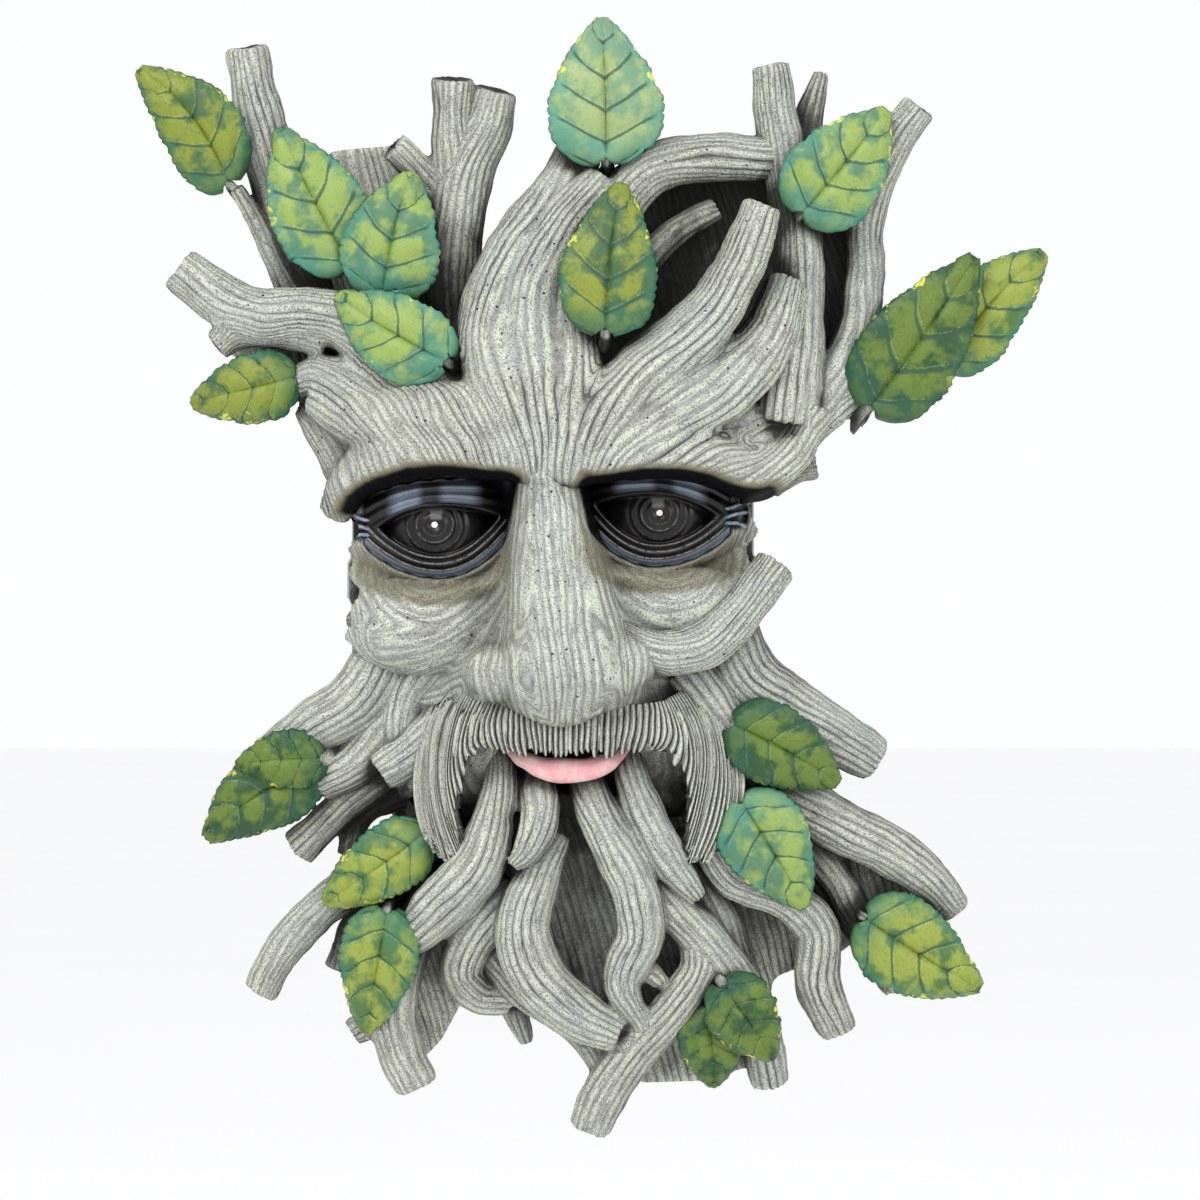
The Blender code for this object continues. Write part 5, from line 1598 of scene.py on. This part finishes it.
class TREEFACE_OT_crown(Carving):
    """Carves the branches above the brow, those in front and those behind."""

    bl_idname = "treeface.crown"
    bl_label = "Crown"

    def carve(self):
        behind = [BRANCHES[name] for name in CROWN_BACK]
        front = [rows for name, rows in BRANCHES.items() if name not in CROWN_BACK]
        settle(carve_limbs("crown_back", behind, PLAIN_SKIN), bark_finish("bark_resin_crown"))
        crown = carve_limbs("crown_front", front, FINE_SKIN, flow=CROWN_FLOW)
        settle(crown, bark_finish("bark_resin_brow", brow=True))


class TREEFACE_OT_roots(Carving):
    """Carves the roots that spread to both sides of the face."""

    bl_idname = "treeface.roots"
    bl_label = "Roots"

    def carve(self):
        for side in ("left", "right"):
            limbs = [rows for name, rows in ROOTS.items() if name.startswith(side)]
            roots = carve_limbs(f"roots_{side}", limbs, PLAIN_SKIN)
            settle(roots, bark_finish(f"bark_resin_roots_{side}"))


class TREEFACE_OT_beard(Carving):
    """Carves the root-like beard below the mouth."""

    bl_idname = "treeface.beard"
    bl_label = "Beard"

    def carve(self):
        limbs = [rows for name, rows in TENDRILS.items() if name != LIP]
        settle(carve_limbs("beard", limbs, PLAIN_SKIN), bark_finish("bark_resin_beard"))


class TREEFACE_OT_moustache(Carving):
    """Lays the strands of the moustache over its locks."""

    bl_idname = "treeface.moustache"
    bl_label = "Moustache"

    def carve(self):
        pad = carve_limbs("moustache_pad", moustache_pad(), PAD_SKIN)
        # The pad under the strands gets more of the painted shade and dark washes of the hollows.
        settle(pad, bark_finish("bark_resin_pad", dark=0.35))
        settle(carve_strands(), bark_finish("bark_resin_strands", strands=True))


class TREEFACE_OT_lip(Carving):
    """Models the lower lip."""

    bl_idname = "treeface.lip"
    bl_label = "Lower Lip"

    def carve(self):
        settle(carve_limbs("lower_lip", [TENDRILS[LIP]], LIP_SKIN, 0.0001), lip_finish())


class TREEFACE_OT_leaves(Carving):
    """Models the leaves, each with its own stem and paint."""

    bl_idname = "treeface.leaves"
    bl_label = "Leaves"

    def carve(self):
        stems = []
        finishes = {}
        for number, (name, form) in enumerate(LEAVES.items()):
            green, tip, edge = LEAF_PAINTS[LEAF_LOOKS[name]]
            if LEAF_LOOKS[name] not in finishes:
                finishes[LEAF_LOOKS[name]] = leaf_finish(f"leaf_{LEAF_LOOKS[name]}", green, tip, edge)
            leaf, stem = carve_leaf(f"leaf_{name}", *form, number)
            none = np.zeros(len(leaf.data.vertices))
            paint_marks(leaf, none, none, none, none, none, none)
            settle(leaf, finishes[LEAF_LOOKS[name]])
            stems.append(stem)
        stalks = carve_limbs("leaf_stems", stems, STEM_SKIN, 0.0002)
        settle(stalks, bark_finish("bark_resin_stems"))


def add_lamp(name, place, aim, width, height, power, tone):
    light = bpy.data.lights.new(name, "AREA")
    light.shape = "RECTANGLE"
    light.size = width
    light.size_y = height
    light.energy = power
    light.color = tone
    lamp = bpy.data.objects.new(name, light)
    bpy.context.scene.collection.objects.link(lamp)
    lamp.location = place
    lamp.rotation_euler = (Vector(aim) - Vector(place)).to_track_quat("-Z", "Y").to_euler()
    lamp.visible_camera = False
    return lamp


class TREEFACE_OT_stage(Carving):
    """Sets up the pale floor, the soft studio light and the camera."""

    bl_idname = "treeface.stage"
    bl_label = "Stage"

    def carve(self):
        deselect_all()
        bpy.ops.mesh.primitive_plane_add(size=FLOOR_SIZE, location=(0, 0, 0))
        floor = bpy.context.active_object
        floor.name = "studio_floor"
        floor.data.transform(Matrix.Translation((0, 0, FLOOR_LEVEL)))
        floor.data.materials.append(floor_finish())
        for lamp in LAMPS:
            add_lamp(*lamp)
        world = bpy.data.worlds.new("studio_world")
        world.use_nodes = True
        background = world.node_tree.nodes["Background"]
        background.inputs["Color"].default_value = (*WORLD_TONE, 1)
        background.inputs["Strength"].default_value = WORLD_STRENGTH
        bpy.context.scene.world = world
        lens = bpy.data.cameras.new("camera")
        lens.sensor_width = SENSOR
        lens.lens = SENSOR * CAMERA_AWAY / FRAME_WIDTH
        lens.clip_end = 60
        camera = bpy.data.objects.new("camera", lens)
        bpy.context.scene.collection.objects.link(camera)
        camera.location = (FRAME_MIDDLE[0], -CAMERA_AWAY, FRAME_MIDDLE[1])
        camera.rotation_euler = (math.radians(90), 0, 0)
        bpy.context.scene.camera = camera
        bpy.context.scene.view_settings.view_transform = "Standard"


CARVINGS = (TREEFACE_OT_back_shell, TREEFACE_OT_webs, TREEFACE_OT_face, TREEFACE_OT_eyes, TREEFACE_OT_crown,
            TREEFACE_OT_roots, TREEFACE_OT_beard, TREEFACE_OT_moustache, TREEFACE_OT_lip, TREEFACE_OT_leaves,
            TREEFACE_OT_stage)


class TREEFACE_PT_panel(bpy.types.Panel):
    """Lists the pieces of the plaque in the sidebar."""

    bl_idname = "TREEFACE_PT_panel"
    bl_label = "Tree Face"
    bl_space_type = "VIEW_3D"
    bl_region_type = "UI"
    bl_category = "Tree Face"

    def draw(self, context):
        for carving in CARVINGS:
            self.layout.operator(carving.bl_idname)
        for group in (context.scene.tree_face_sizes, context.scene.tree_face_colours):
            box = self.layout.box()
            for name in group.__annotations__:
                box.prop(group, name)


CLASSES = (TreeFaceSizes, TreeFaceColours, *CARVINGS, TREEFACE_PT_panel)


def register():
    for each in CLASSES:
        bpy.utils.register_class(each)
    bpy.types.Scene.tree_face_sizes = bpy.props.PointerProperty(type=TreeFaceSizes)
    bpy.types.Scene.tree_face_colours = bpy.props.PointerProperty(type=TreeFaceColours)


def unregister():
    del bpy.types.Scene.tree_face_colours
    del bpy.types.Scene.tree_face_sizes
    for each in reversed(CLASSES):
        bpy.utils.unregister_class(each)


def main():
    register()
    for carving in CARVINGS:
        group, name = carving.bl_idname.split(".")
        getattr(getattr(bpy.ops, group), name)()


if __name__ == "__main__":
    main()
